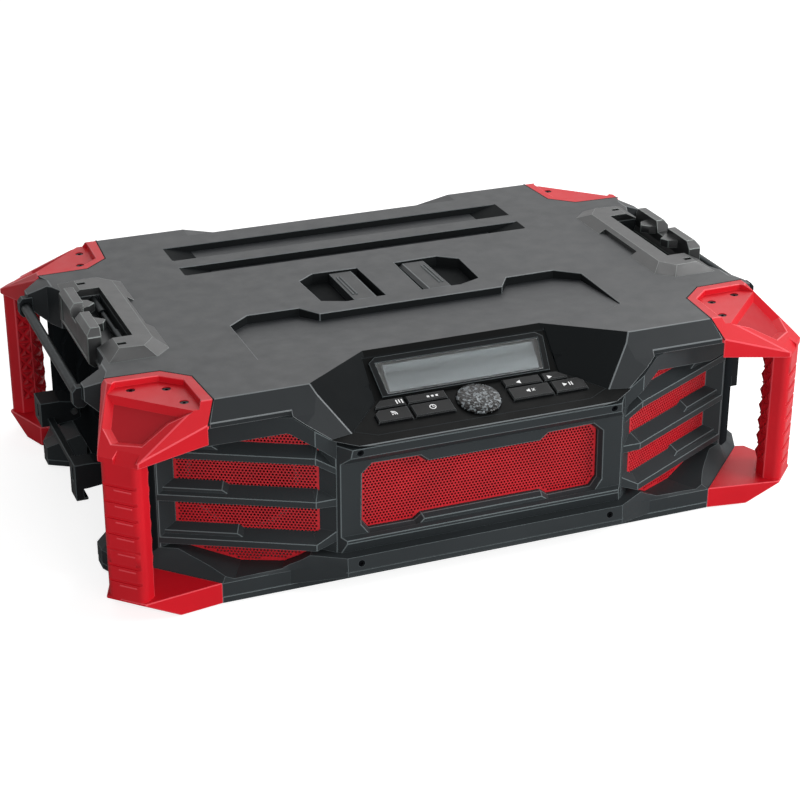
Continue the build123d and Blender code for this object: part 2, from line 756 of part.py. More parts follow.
# ---------------------------------------------------------------- louvres
ring_plan = [
    (front_half_x, front_y), (pillar_half_x + panel_gap, pillar_front_y), bay_inner, bay_outer,
    (shell_side_x, bay_side_y), (shell_side_x, shell_bay_y),
]
window_plan = [
    (pillar_half_x + panel_gap + blade_edge, pillar_front_y), bay_point(mesh_start_u, -bay_depth),
    bay_point(mesh_start_u, bay_back_w - blade_edge), bay_point(mesh_end_u, bay_back_w - blade_edge),
    bay_point(mesh_end_u, -bay_depth), bay_point(window_end_u, 0), bay_point(window_end_u, window_reach),
    (pillar_half_x + panel_gap + blade_edge, pillar_front_y - window_reach),
]
window_face = [(window_top[0][0], 0), *window_top, (window_end_u, 0)]
window_space = common(
    upright(window_plan, 0, seam_z),
    on_plane(bay_plane, window_face, bay_back_w - 2 * blade_edge, 2 * window_reach),
)
fold_plane = Plane(origin=(*bay_inner, 0), x_dir=(*bay_out, 0), z_dir=(-bay_dir[0], -bay_dir[1], 0))
end_run = hypot(bay_inner[0] - pillar_half_x, bay_inner[1] - pillar_front_y)
end_dir = ((bay_inner[0] - pillar_half_x) / end_run, (bay_inner[1] - pillar_front_y) / end_run)
end_plane = Plane(
    origin=(pillar_half_x, pillar_front_y, 0),
    x_dir=(end_dir[0], end_dir[1], 0),
    z_dir=(end_dir[1], -end_dir[0], 0),
)


def blade_end(edge_line, rise, height):
    """Space behind the blade's short end, over or under a line drawn on its face, swept back."""
    outline = [*edge_line, (end_run, edge_line[1][1] + height), (0, edge_line[0][1] + height)]
    with BuildPart() as swept:
        with BuildSketch(end_plane):
            Polygon(*outline, align=None)
        extrude(amount=bay_depth, dir=(-end_dir[1] * bay_depth, end_dir[0] * bay_depth, rise))
    return swept.part


def louvre_blade(top, end_top, end_low, rib_start):
    """One blade: along the bay from the outer post to the fold, then back to the pillar."""
    low = top - blade_face
    section = [(-bay_depth, low + blade_edge), (0, low), (0, top), (-bay_depth, top + blade_rise)]
    with BuildPart() as run:
        with BuildSketch(fold_plane):
            Polygon(*section, align=None)
        extrude(amount=-window_end_u - blade_edge)
    bend = common(
        blade_end([(0, end_top), (end_run, top)], blade_rise, -4 * blade_face),
        blade_end([(0, end_low), (end_run, low)], blade_edge, 4 * blade_face),
    )
    rib_outline = [
        (rib_start, top), (rib_start + blade_rib_ramp, top + blade_rib_height),
        (window_end_u + blade_edge, top + blade_rib_height), (window_end_u + blade_edge, top),
    ]
    rib_back = [(u, z + blade_rise) for u, z in rib_outline]
    with BuildPart() as rib:
        with BuildSketch(bay_plane.offset(-bay_depth * 0.3)):
            Polygon(*[(u, z + blade_rise * 0.3) for u, z in rib_outline], align=None)
        with BuildSketch(bay_plane.offset(-bay_depth)):
            Polygon(*rib_back, align=None)
        loft(ruled=True)
    return [run.part, bend, rib.part]


blades = []
for blade_sizes in zip(blade_tops, blade_end_tops, blade_end_lows, blade_rib_starts):
    blades += louvre_blade(*blade_sizes)
louvre_ring = less(upright(ring_plan, tray_top, seam_z), [window_space])
blade_set = common(joined(blades), upright(ring_plan, tray_top, seam_z))
right_louvre = less(joined([louvre_ring, blade_set]), [nose_room])
keep(right_louvre, "right_louvre_frame")
keep(flip_x(right_louvre), "left_louvre_frame")

mesh_top = [(mesh_end_u, window_top[3][1]), window_top[3], window_top[2], window_top[1], (mesh_start_u, window_top[1][1])]
mesh_outline = widened([*bay_floor, *mesh_top], -panel_gap)
right_mesh = less(on_plane(bay_plane, mesh_outline, bay_back_w, -bay_depth), [nose_room])
keep(right_mesh, "right_speaker_mesh")
keep(flip_x(right_mesh), "left_speaker_mesh")

# ---------------------------------------------------------------- console
panel_drop = console_thickness / -shelf_in
screen_back_drop = 4.0
fold_shift = 0.9
panel_profile = [
    (console_half[0][1], screen_height(console_half[0][1])), recess_fold,
    (console_half[3][1], shelf_height(console_half[3][1])),
    (console_half[3][1], shelf_height(console_half[3][1]) - panel_drop),
    (recess_fold[0] + fold_shift, shelf_height(recess_fold[0] + fold_shift) - panel_drop),
    (console_half[0][1], screen_height(console_half[0][1]) - screen_back_drop),
]
console_blank = upright(widened(both_sides(console_half), -panel_gap), lip_z - wall, deck_z)
console_sheet = common(console_blank, along_x(panel_profile, -120, 120))
module_window = [(-module_half_x, -14.0), (module_half_x, -14.0), (module_half_x, -35.5), (-module_half_x, -35.5)]
screen_hole = on_plane(screen_plane, module_window, -20, 5)

# Keys: name, outline on the shelf as (x, distance towards the front).
key_row_back = (2.6, 11.0)
key_row_front = (13.0, 26.3)


def key_corners(x_low, x_high, row, cut_low=0.0, cut_high=0.0):
    """Outline of a key, with its back outer corner cut where it meets the console wall."""
    near = -row[1]
    far = -row[0]
    outline = [(x_low, near), (x_high, near)]
    if cut_high:
        outline += [(x_high, far - cut_high), (x_high - cut_high, far)]
    else:
        outline += [(x_high, far)]
    if cut_low:
        outline += [(x_low + cut_low, far), (x_low, far - cut_low)]
    else:
        outline += [(x_low, far)]
    return outline


keys = {
    "key_equaliser": key_corners(-76.0, -52.5, key_row_back, cut_low=6.0),
    "key_mode": key_corners(-50.5, -20.0, key_row_back),
    "key_previous": key_corners(26.0, 55.5, key_row_back),
    "key_next": key_corners(57.5, 76.0, key_row_back, cut_high=6.0),
    "key_wireless": key_corners(-79.0, -52.5, key_row_front, cut_low=4.0),
    "key_clock": key_corners(-50.5, -19.5, key_row_front),
    "key_mute": key_corners(26.0, 58.5, key_row_front),
    "key_play": key_corners(60.5, 86.0, key_row_front, cut_high=4.0),
}
key_under = console_thickness + 0.2
mat_top = -(key_under + key_travel + joint_gap)
mat_thickness = 1.0
knob_plane = shelf_plane.shift_origin(shelf_plane.from_local_coords(Vector(knob_x, -knob_q, 0)))
key_holes = []
for outline in keys.values():
    key_holes.append(on_plane(shelf_plane, widened(outline, key_side_gap), -10, 10))
with BuildPart() as shaft_hole:
    with BuildSketch(knob_plane.offset(-10)):
        Circle(knob_shaft_r + 1.5)
    extrude(amount=20)
console_panel = less(console_sheet, [screen_hole, shaft_hole.part, *key_holes])
keep(console_panel, "console_panel")

for name, outline in keys.items():
    with BuildPart() as key:
        with BuildSketch(shelf_plane.offset(-key_under)):
            Polygon(*outline, align=None)
        extrude(amount=key_under + key_height)
        chamfer(key.faces().sort_by(Axis(shelf_plane.origin, shelf_plane.z_dir))[-1].edges(), length=key_edge)
    keep(key.part, name)

mat_front = -27.0
mat_back = -1.5
mat_strip = -7.0
mat_back_edge = [(88, -19.5), (70, mat_back), (-70, mat_back), (-80, -11.5)]
mat_outline = [
    (-80, mat_front), (-18.8, mat_front), (-18.8, mat_strip), (25.0, mat_strip), (25.0, mat_front), (88, mat_front),
    *mat_back_edge,
]
keep(on_plane(shelf_plane, mat_outline, mat_top - mat_thickness, mat_top), "key_mat")
board_thickness = 1.6
board_top = mat_top - mat_thickness
board_outline = [(-80, mat_front), (88, mat_front), *mat_back_edge]
post_r = 1.4
with BuildPart() as control_board:
    with BuildSketch(shelf_plane.offset(board_top - board_thickness)):
        Polygon(*board_outline, align=None)
    extrude(amount=board_thickness)
    with BuildSketch(shelf_plane.offset(board_top)):
        with Locations((-16.6, -21), (22.6, -21)):
            Circle(post_r)
    extrude(amount=-board_top - console_thickness)
keep(control_board.part, "control_board")

encoder_half = 7.0
with BuildPart() as encoder:
    with BuildSketch(knob_plane.offset(board_top)):
        Rectangle(2 * encoder_half, 2 * encoder_half)
    extrude(amount=-board_top - console_thickness)
    with BuildSketch(knob_plane.offset(board_top)):
        Circle(knob_shaft_r + running_gap)
    extrude(amount=20, mode=Mode.SUBTRACT)
keep(encoder.part, "knob_encoder")

knob_base = 0.5
with BuildPart() as knob:
    with BuildSketch(knob_plane.offset(knob_base)):
        RegularPolygon(knob_r, 20)
    extrude(amount=knob_height * 0.4)
    with BuildSketch(knob_plane.offset(knob_base + knob_height * 0.4)):
        RegularPolygon(knob_r - 0.6, 20)
    with BuildSketch(knob_plane.offset(knob_base + knob_height)):
        RegularPolygon(knob_r * 0.62, 20)
    loft(ruled=True)
    with BuildSketch(knob_plane.offset(board_top + 0.3)):
        Circle(knob_shaft_r)
    extrude(amount=knob_base - board_top)
keep(knob.part, "tuning_knob")

with BuildPart() as display_bezel:
    with BuildSketch(screen_plane):
        Polygon(*both_sides(bezel_half), align=None)
        Polygon(*both_sides([(64.5 + panel_gap, -12.2), (61.5 + panel_gap, -37.0)]), align=None, mode=Mode.SUBTRACT)
    extrude(amount=bezel_proud)
keep(display_bezel.part, "display_bezel")
lens = on_plane(screen_plane, both_sides(lens_half), lens_lift, lens_lift + lens_thickness)
keep(lens, "display_lens")
module_outline = both_sides([(module_half_x - panel_gap, -14.2), (module_half_x - panel_gap, -35.3)])
keep(on_plane(screen_plane, module_outline, -module_depth, lens_lift), "display_module")

# ---------------------------------------------------------------- rear panel, battery bay, door
bay_open_half_x = bay_box_half_x - bay_box_wall
bay_open_z = (bay_box_z[0] + bay_box_wall, bay_box_z[1] - bay_box_wall)
panel_back_y = shell_rear_y + panel_thickness
inlet_x = (-140.0, -114.0)
inlet_z = (60.0, 82.0)
bay_cut = block((-bay_open_half_x, bay_open_half_x), (bay_box_front_y, 250), bay_open_z)
inlet_cut = block(inlet_x, (shell_rear_y - 1, 250), inlet_z)
door_axis_y = panel_back_y + joint_gap + door_knuckle_r
knuckle_step = 20.0
knuckle_low = door_z[0] + 8.0
knuckle_high = door_z[1] - 8.0
pin_hole = rod_z(door_pivot_x, door_axis_y, door_pin_r, knuckle_low - 2, knuckle_high + 2)
panel_knuckle = joined([
    rod_z(door_pivot_x, door_axis_y, door_knuckle_r, knuckle_low + knuckle_step, knuckle_high - knuckle_step),
    block((door_pivot_x, door_pivot_x + door_knuckle_r), (panel_back_y, door_axis_y),
          (knuckle_low + knuckle_step, knuckle_high - knuckle_step)),
])
with BuildPart() as panel_plate:
    with BuildSketch(Plane.XZ.offset(-panel_back_y)):
        with Locations((0, sum(panel_z) / 2)):
            Rectangle(2 * panel_half_x, panel_z[1] - panel_z[0])
    extrude(amount=panel_thickness)
rear_panel = less(joined([panel_plate.part, panel_knuckle]), [bay_cut, inlet_cut, pin_hole])
keep(rear_panel, "rear_panel")

dock_outer = block((-bay_box_half_x, bay_box_half_x), (bay_box_front_y, shell_rear_y), bay_box_z)
dock_inner = block(
    (-bay_open_half_x, bay_open_half_x), (bay_box_front_y + bay_box_wall, shell_rear_y + 1), bay_open_z
)
rail_height = 8.0
rails = joined([
    block((-34, -30), (bay_box_front_y + bay_box_wall, shell_rear_y - 20), (bay_open_z[0], bay_open_z[0] + rail_height)),
    block((30, 34), (bay_box_front_y + bay_box_wall, shell_rear_y - 20), (bay_open_z[0], bay_open_z[0] + rail_height)),
])
contact_height = 14.0
contacts = joined([
    block((x, x + 1.5), (bay_box_front_y + bay_box_wall, bay_box_front_y + bay_box_wall + 22),
          (bay_open_z[0], bay_open_z[0] + contact_height))
    for x in (-18.0, -6.0, 6.0, 18.0)
])
keep(joined([less(dock_outer, [dock_inner]), rails, contacts]), "battery_dock")

door_front_y = panel_back_y + joint_gap
door_shell = less(
    block((-door_half_x, door_half_x), (door_front_y, door_front_y + door_depth), door_z),
    [block((-door_half_x + door_wall, door_half_x - door_wall), (door_front_y - 1, door_front_y + door_depth - door_wall),
           (door_z[0] + door_wall, door_z[1] - door_wall))],
)
door_knuckles = joined([
    item
    for low, high in ((knuckle_low, knuckle_low + knuckle_step - joint_gap),
                      (knuckle_high - knuckle_step + joint_gap, knuckle_high))
    for item in (
        rod_z(door_pivot_x, door_axis_y, door_knuckle_r, low, high),
        block((door_half_x - 1, door_pivot_x), (door_axis_y - 1, door_axis_y + door_knuckle_r), (low, high)),
    )
])
door_bore = rod_z(door_pivot_x, door_axis_y, door_pin_r + running_gap, door_z[0], door_z[1])
pull_profile = [
    (-door_half_x, door_front_y + door_depth + 1), (-door_half_x + 9, door_front_y + door_depth + 1),
    (-door_half_x + 5, door_front_y + door_depth - 2), (-door_half_x, door_front_y + door_depth - 2),
]
door_pull = upright(pull_profile, 64, 96)
keep(less(joined([door_shell, door_knuckles]), [door_bore, door_pull]), "battery_door")
keep(rod_z(door_pivot_x, door_axis_y, door_pin_r, knuckle_low, knuckle_high), "door_hinge_pin")

inlet_body = block((inlet_x[0], inlet_x[1]), (shell_rear_y - 26, panel_back_y + 1.5), inlet_z)
inlet_socket = block((inlet_x[0] + 3, inlet_x[1] - 3), (shell_rear_y - 18, panel_back_y + 3), (inlet_z[0] + 4, inlet_z[1] - 4))
inlet_pins = joined([
    rod_y(x, sum(inlet_z) / 2, 1.2, shell_rear_y - 19, shell_rear_y - 6)
    for x in (inlet_x[0] + 8.7, inlet_x[1] - 8.7)
])
keep(joined([less(inlet_body, [inlet_socket]), inlet_pins]), "mains_inlet")

# ---------------------------------------------------------------- corner guards
guard_plan = [*guard_seat, (259.0, -106.0), guard_side, guard_front, guard_inner, (196.0, -167.5)]
apron_slope = apron_run / (deck_z - seam_z)
apron_low_y = -deck_half_y - apron_slope * (deck_z - tip_z)
side_low_x = guard_side[0] + 0.3
front_shave = along_x(
    [(-deck_half_y, deck_z), (apron_low_y, tip_z), (-260, tip_z), (-260, deck_z + 5),
     (-deck_half_y, deck_z + 5)], 150, 320
)
side_shave = along_y(
    [(guard_seat[3][0], deck_z), (side_low_x, tip_z), (340, tip_z), (340, deck_z + 5),
     (guard_seat[3][0], deck_z + 5)], -260, -60
)
tip_slope = (slope_start_z - tip_z) / (tip_d - slope_start_d)
slope_shave = on_plane(
    corner_plane,
    [(slope_start_d - 8, slope_start_z + 8 * tip_slope), (tip_d + 10, tip_z - 10 * tip_slope),
     (tip_d + 40, 190), (slope_start_d - 8, 190)], -200, 200
)
floor_cut = upright(
    [(207.2, -171.5), (203.5, -163.0), (205.0, -127.0), (219.5, -114.0), (251.0, -113.0), (262.0, -125.0),
     (240.0, -190.0)], guard_floor_z, deck_z + 5
)
slope_length = hypot(tip_d - slope_start_d, slope_start_z - tip_z)
slope_out = (tip_d - slope_start_d) / slope_length
slope_drop = (slope_start_z - tip_z) / slope_length
slope_plane = Plane(
    origin=(*corner_point(slope_start_d, 0), slope_start_z),
    x_dir=(slope_out * root_half, -slope_out * root_half, -slope_drop),
    z_dir=(slope_drop * root_half, -slope_drop * root_half, slope_out),
)
dish_outline = [((d - slope_start_d) / slope_out, t) for d, t in dish_rim]
with BuildPart() as dish:
    with BuildSketch(slope_plane.offset(-dish_depth)):
        Polygon(*widened(dish_outline, -dish_wall_run), align=None)
    with BuildSketch(slope_plane):
        Polygon(*dish_outline, align=None)
    loft(ruled=True)
    with BuildSketch(slope_plane):
        Polygon(*dish_outline, align=None)
    extrude(amount=dish_depth)
tip_notch = on_plane(
    corner_plane, [*notch_profile, (tip_d + 20, notch_profile[-1][1]), (tip_d + 20, deck_z), (notch_profile[0][0], deck_z)],
    -notch_t[1], -notch_t[0],
)
neck_shave = on_plane(
    corner_plane,
    [(200, guard_seat_low_z), (guard_neck_d[0], guard_seat_low_z), (guard_neck_d[1], guard_low_z),
     (guard_neck_d[1], 0), (200, 0)], -200, 200
)
# Below the seam the guard leaves the slanted speaker bay free.
throat = upright(
    [guard_inner, (guard_inner[0] + throat_run[0], guard_inner[1] + throat_run[1]), (190, -100), (170, -180)],
    0, seam_z
)
cap = less(
    upright(guard_plan, guard_low_z, deck_z),
    [front_shave, side_shave, slope_shave, floor_cut, dish.part, tip_notch, neck_shave, throat],
)

bar_low_t = bar_centre_t - bar_width / 2
bar_high_t = bar_centre_t + bar_width / 2
with BuildPart() as bar:
    with BuildSketch(Plane.XY.offset(foot_height)):
        Polygon(
            corner_point(bar_inner_d, bar_low_t + bar_relief), corner_point(bar_inner_d + bar_relief, bar_low_t),
            corner_point(tip_d, bar_low_t), corner_point(tip_d, bar_high_t),
            corner_point(bar_inner_d + bar_relief, bar_high_t), corner_point(bar_inner_d, bar_high_t - bar_relief),
            align=None
        )
    extrude(amount=tip_z + 1 - foot_height)
    outer_edges = bar.edges().filter_by(Axis.Z).sort_by(Axis((0, 0, 0), (1, -1, 0)))[-2:]
    fillet(outer_edges, radius=bar_round)
grip_pitch = 12.5
grip_depth = 1.2
grip_height = 2.2
grip_count = 7
grip_first = 32.0
grip_cuts = joined([
    on_plane(
        corner_plane.offset(-bar_high_t),
        [(tip_d - grip_depth, z), (tip_d + 2, z - 0.8), (tip_d + 2, z + grip_height + 0.8),
         (tip_d - grip_depth, z + grip_height)], 0, bar_width
    )
    for z in [grip_first + step * grip_pitch for step in range(grip_count)]
])
foot_plan = [foot_diagonal[0], (234.0, -182.5), guard_front, guard_side, (262.0, -121.0), foot_diagonal[1]]
under_shave = on_plane(
    corner_plane,
    [(foot_under_d, foot_height), (tip_d + 3, foot_under_z + 2), (tip_d + 3, -10), (foot_under_d, -10)], -200, 200
)
foot = less(upright(foot_plan, foot_height, foot_top_z), [under_shave])
guard_raw = joined([cap, less(bar.part, [grip_cuts, under_shave, slope_shave, tip_notch]), foot])

head_holes = joined([rod_z(x, y, screw_head_r, guard_floor_z - screw_sink, guard_floor_z + 6) for x, y in screw_spots])
shank_holes = joined([
    rod_z(x, y, screw_shank_r, guard_floor_z - screw_sink - screw_length, guard_floor_z) for x, y in screw_spots
])
skid_room = upright(skid_outline, foot_height, skid_top + seam_gap)
deck_room = upright(deck_outline, seam_z, deck_z)
shell_room = upright(shell_outline, tray_top, seam_z)
bay_room = upright([bay_point(0, bay_back_w), bay_inner, bay_outer, (shell_side_x, bay_side_y),
                    (shell_side_x, shell_bay_y)], tray_top, seam_z)
guard_front_right = less(
    guard_raw,
    [head_holes, shank_holes, top_cover.part, shell_room, front_post, bay_room, base_tray.part, skid_room, deck_room],
)
guard_rear_right = less(
    flip_y(guard_raw),
    [flip_y(head_holes), flip_y(shank_holes), top_cover.part, shell_room, rear_post, base_tray.part, skid_room, deck_room],
)
keep(guard_front_right, "guard_front_right")
keep(flip_x(guard_front_right), "guard_front_left")
keep(guard_rear_right, "guard_rear_right")
keep(flip_x(guard_rear_right), "guard_rear_left")

with BuildPart() as guard_screws_front:
    for x, y in screw_spots:
        with BuildSketch(Plane.XY.offset(guard_floor_z - screw_sink)):
            with Locations((x, y)):
                Circle(screw_head_r - panel_gap)
                RegularPolygon(1.4, 6, mode=Mode.SUBTRACT)
        extrude(amount=screw_head_height)
        with BuildSketch(Plane.XY.offset(guard_floor_z - screw_sink - screw_length)):
            with Locations((x, y)):
                Circle(screw_shank_r)
        extrude(amount=screw_length)
screws_right = joined([guard_screws_front.part, flip_y(guard_screws_front.part)])
keep(joined([screws_right, flip_x(screws_right)]), "guard_screws")

case_screw_list = []
for x, z, y in (
    (case_screw_x, case_screw_z, tray_nose_y + case_screw_sink),
    (-case_screw_x, case_screw_z, tray_nose_y + case_screw_sink),
    (case_screw_x, lip_screw_z, lip_front_y + case_screw_sink + 1),
    (-case_screw_x, lip_screw_z, lip_front_y + case_screw_sink + 1),
):
    head = rod_y(x, z, case_screw_head_r - panel_gap, y - screw_head_height, y)
    with BuildPart() as socket:
        with BuildSketch(Plane.XZ.offset(-y + screw_head_height)):
            with Locations((x, z)):
                RegularPolygon(1.2, 6)
        extrude(amount=-1.0)
    case_screw_list.append(less(head, [socket.part]))
keep(joined(case_screw_list), "case_screws")

# ---------------------------------------------------------------- latch frames, levers, rollers
frame_low = [(199.0, -70.0), (211.0, -82.0), (247.0, -82.0)]
frame_high = [(208.3, -59.0), (217.9, -71.6), (236.0, -70.0)]
latch_inner_cut_x = 205.0
latch_cut_y = 28.0
latch_socket_y = 62.5
with BuildPart() as latch_frame:
    with BuildSketch(Plane.XY.offset(deck_z)):
        Polygon(*(frame_low + [(x, -y) for x, y in reversed(frame_low)]), align=None)
    with BuildSketch(Plane.XY.offset(latch_frame_top)):
        Polygon(*(frame_high + [(x, -y) for x, y in reversed(frame_high)]), align=None)
    loft(ruled=True)
frame_cuts = [
    block((latch_well_x, 300), (-latch_well_y, latch_well_y), (deck_z - 1, latch_frame_top + 1)),
    block((190, latch_inner_cut_x), (-latch_cut_y, latch_cut_y), (deck_z - 1, latch_frame_top + 1)),
    block((229, 235.5), (latch_socket_y - 2, latch_socket_y + 2), (deck_z + 1.5, latch_frame_top + 1)),
    block((229, 235.5), (-latch_socket_y - 2, -latch_socket_y + 2), (deck_z + 1.5, latch_frame_top + 1)),
]
right_latch_frame = less(latch_frame.part, frame_cuts)
keep(right_latch_frame, "latch_frame_right")
keep(flip_x(right_latch_frame), "latch_frame_left")

pivot_x = lever_pivot[0] - 1.0
lever_profile = [
    (242.8, lever_top_z), (250.0, lever_top_z), (253.6, 166.0), (253.6, 144.0), (250.0, 140.8),
    (243.6, 140.8), (241.6, 143.0), (241.6, 150.0), (243.4, 154.0),
]
lever_plate = along_y(lever_profile, -lever_half_y, lever_half_y)
claw_plan = [(243.0, 9.0), (243.0, 27.0), (236.0, 24.0), (232.5, 17.0), (238.0, 12.0)]
claw = upright(claw_plan, 158.8, 165.5)
lever_notch = along_x([(-9.5, lever_top_z + 1), (-7.0, 161.0), (7.0, 161.0), (9.5, lever_top_z + 1)], 230, 260)
end_trim = along_x([(lever_half_y - 5, lever_top_z + 1), (lever_half_y + 1, 163.0), (lever_half_y + 1, lever_top_z + 1)], 230, 260)
face_panel = block((252.8, 260), (-lever_half_y + 7, lever_half_y - 7), (146.0, 163.0))
lever_bore = rod_y(pivot_x, lever_pivot[1], lever_pin_r + running_gap, -latch_well_y, latch_well_y)
right_lever = less(
    joined([lever_plate, claw, flip_y(claw)]),
    [lever_notch, end_trim, flip_y(end_trim), face_panel, lever_bore],
)
keep(right_lever, "latch_lever_right")
keep(flip_x(right_lever), "latch_lever_left")
right_pins = rod_y(pivot_x, lever_pivot[1], lever_pin_r, -pin_reach, pin_reach)
keep(joined([right_pins, flip_x(right_pins)]), "lever_pins")
right_roller = joined([
    rod_y(roller_axis[0], roller_axis[1], roller_r, -pin_reach, -20),
    rod_y(roller_axis[0], roller_axis[1], roller_r - 1.2, -20, 20),
    rod_y(roller_axis[0], roller_axis[1], roller_r, 20, pin_reach),
])
keep(joined([right_roller, flip_x(right_roller)]), "latch_bars")

# ---------------------------------------------------------------- slide locks in the deck pockets
lock_x = (19.6, 40.5)
lock_y = (-30.2, 28.0)
lock_low = deck_z - pocket_depth + joint_gap
lock_top = deck_z - 1.2
lock_body = block(lock_x, lock_y, (lock_low, lock_top))
lock_ribs = joined([
    block((34.0, 35.4), (-20, 18), (lock_top - 0.5, lock_top + 0.8)),
    block((36.8, 38.2), (-20, 18), (lock_top - 0.5, lock_top + 0.8)),
])
lock_bevel = along_y([(lock_x[0] - 1, lock_top - 3), (lock_x[0] + 4, lock_top + 1), (lock_x[0] - 1, lock_top + 1)], -40, 40)
right_lock = joined([less(lock_body, [lock_bevel]), lock_ribs])
keep(right_lock, "slide_lock_right")
keep(flip_x(right_lock), "slide_lock_left")

# ---------------------------------------------------------------- side rods and their arms
right_rod = rod_y(rod_axis[0], rod_axis[1], rod_r, -rod_half_y, rod_half_y)
keep(joined([right_rod, flip_x(right_rod)]), "side_rods")
arm_outer_x = rod_axis[0] + 5.2
arm_profile = [
    (rod_axis[0] - 6, 136.0), (rod_axis[0] - 3, 132.5), (arm_outer_x - 3, 132.5), (arm_outer_x, 136.0),
    (arm_outer_x, 145.0), (arm_outer_x - 3, 148.5), (rod_axis[0] - 6, 148.5),
]
arm = along_y(arm_profile, rod_half_y, rod_half_y + arm_thickness)
arms = less(joined([arm, flip_y(arm)]), [top_cover.part])
keep(joined([arms, flip_x(arms)]), "rod_arms")

# ---------------------------------------------------------------- lower stacking latches
stack_arm_z = (stack_pivot[1] - stack_arm_half, stack_pivot[1] + stack_arm_half)
arm_shape = [
    (stack_pivot[0] - 5, stack_pivot[1] - 6), (stack_pivot[0], stack_pivot[1] - 8),
    (stack_reach_x - 9, stack_arm_z[0]), (stack_reach_x, stack_arm_z[0]), (stack_reach_x, stack_arm_z[1]),
    (stack_pivot[0] + 11, stack_arm_z[1]), (stack_pivot[0], stack_pivot[1] + 8), (stack_pivot[0] - 5, stack_pivot[1] + 6),
]
hook_shape = [
    (stack_reach_x - 6, stack_arm_z[0] + 1), (stack_reach_x - 6, stack_arm_z[0] - 7),
    (stack_reach_x - 9, stack_arm_z[0] - 7), (stack_reach_x - 9, stack_arm_z[0] - 9),
    (stack_reach_x, stack_arm_z[0] - 9), (stack_reach_x, stack_arm_z[0] + 1),
]
rail_shape = [
    (stack_reach_x - 10, stack_arm_z[0] + 2), (stack_reach_x - 5, stack_arm_z[0] + 2),
    (stack_reach_x - 5, stack_arm_z[0] + 7), (stack_reach_x - 10, stack_arm_z[0] + 7),
]
stack_eye = rod_y(stack_pivot[0], stack_pivot[1], stack_pin_r + running_gap, -skirt_side_y, skirt_side_y)
end_slot_half = 5.5
end_slots = joined([
    block((stack_reach_x - 3, stack_reach_x + 1), (low, low + 5), (stack_pivot[1] - end_slot_half, stack_pivot[1] + end_slot_half))
    for low in (stack_arm_rear[0] + 9, stack_arm_front[0] + 6)
])
right_stack = less(
    joined([
        along_y(arm_shape, *stack_arm_rear), along_y(arm_shape, *stack_arm_front),
        along_y(hook_shape, *stack_arm_front), along_y(rail_shape, stack_arm_front[1] - 1, stack_arm_rear[0] + 1),
    ]),
    [stack_eye, end_slots],
)
keep(right_stack, "stack_latch_right")
keep(flip_x(right_stack), "stack_latch_left")
pin_end = 1.5
stack_pins = joined([
    rod_y(stack_pivot[0], stack_pivot[1], stack_pin_r, stack_arm_rear[0] - pin_end, stack_lug_rear[1] + pin_end),
    rod_y(stack_pivot[0], stack_pivot[1], stack_pin_r, stack_lug_front[0] - pin_end, stack_arm_front[1] + pin_end),
])
keep(joined([stack_pins, flip_x(stack_pins)]), "stack_latch_pins")

# ---------------------------------------------------------------- speakers
speaker_back_w = bay_back_w - wall
basket_r = 47.0
basket_depth = 26.0
magnet_r = 30.0
magnet_depth = 14.0
cone_r = 38.0
speaker_origin = bay_plane.from_local_coords(Vector(speaker_u, speaker_z, 0))
speaker_face = Plane(origin=speaker_origin, x_dir=bay_plane.x_dir, z_dir=bay_plane.z_dir)


def ring_stack(levels):
    """Round solid about the speaker axis from (offset, radius) levels, joined by cones."""
    with BuildPart() as solid:
        for offset_w, radius in levels:
            with BuildSketch(speaker_face.offset(offset_w)):
                Circle(radius)
        loft(ruled=True)
    return solid.part


basket_outer = joined([
    ring_stack([(speaker_back_w - 3, basket_r), (speaker_back_w, basket_r)]),
    ring_stack([(speaker_back_w - basket_depth, magnet_r - 2), (speaker_back_w - 3, cone_r + 3)]),
])
basket_inner = ring_stack([(speaker_back_w - basket_depth + 2.5, magnet_r - 5), (speaker_back_w + 1, cone_r + 0.5)])
right_basket = less(basket_outer, [basket_inner])
keep(joined([right_basket, flip_x(right_basket)]), "speaker_baskets")
cone_solid = less(
    joined([
        ring_stack([(speaker_back_w - 16, 13.0), (speaker_back_w - 1.0, cone_r - 1.5)]),
        ring_stack([(speaker_back_w - 1.6, cone_r - 1.1), (speaker_back_w - 0.1, cone_r - 0.3)]),
    ]),
    [ring_stack([(speaker_back_w - 14.5, 11.5), (speaker_back_w + 0.5, cone_r - 3.0)])],
)
voice_coil = ring_stack([(speaker_back_w - basket_depth + 2.5, 12.0), (speaker_back_w - 15, 12.0)])
right_cone = joined([cone_solid, voice_coil])
keep(joined([right_cone, flip_x(right_cone)]), "speaker_cones")
magnet_face = speaker_back_w - basket_depth
right_magnet = ring_stack([(magnet_face - magnet_depth, magnet_r), (magnet_face, magnet_r)])
keep(joined([right_magnet, flip_x(right_magnet)]), "speaker_magnets")

radiator_y = front_y + wall
radiator = joined([
    block((-grille_open_x - 6, grille_open_x + 6), (radiator_y, radiator_y + 2.5), (grille_open_z[0] - 6, grille_open_z[1] + 6)),
    block((-grille_open_x + 12, grille_open_x - 12), (radiator_y - 2.0, radiator_y), (grille_open_z[0] + 9, grille_open_z[1] - 9)),
])
keep(radiator, "bass_radiator")

# ---------------------------------------------------------------- electronics in the base
board = block(board_x, board_y, (boss_top, boss_top + board_thickness))
sink = joined([
    block((-60 + step * 8, -57 + step * 8), (-30, 20), (boss_top + board_thickness, boss_top + board_thickness + 22))
    for step in range(6)
] + [block((-62, -15), (-30, 20), (boss_top + board_thickness, boss_top + board_thickness + 4))])
keep(board, "main_board")
keep(sink, "amplifier_heat_sink")
psu_x = (-190.0, -104.0)
psu_y = (40.0, 130.0)
psu_top = 56.0
psu = block(psu_x, psu_y, (tray_floor_top, psu_top))
keep(psu, "power_supply")
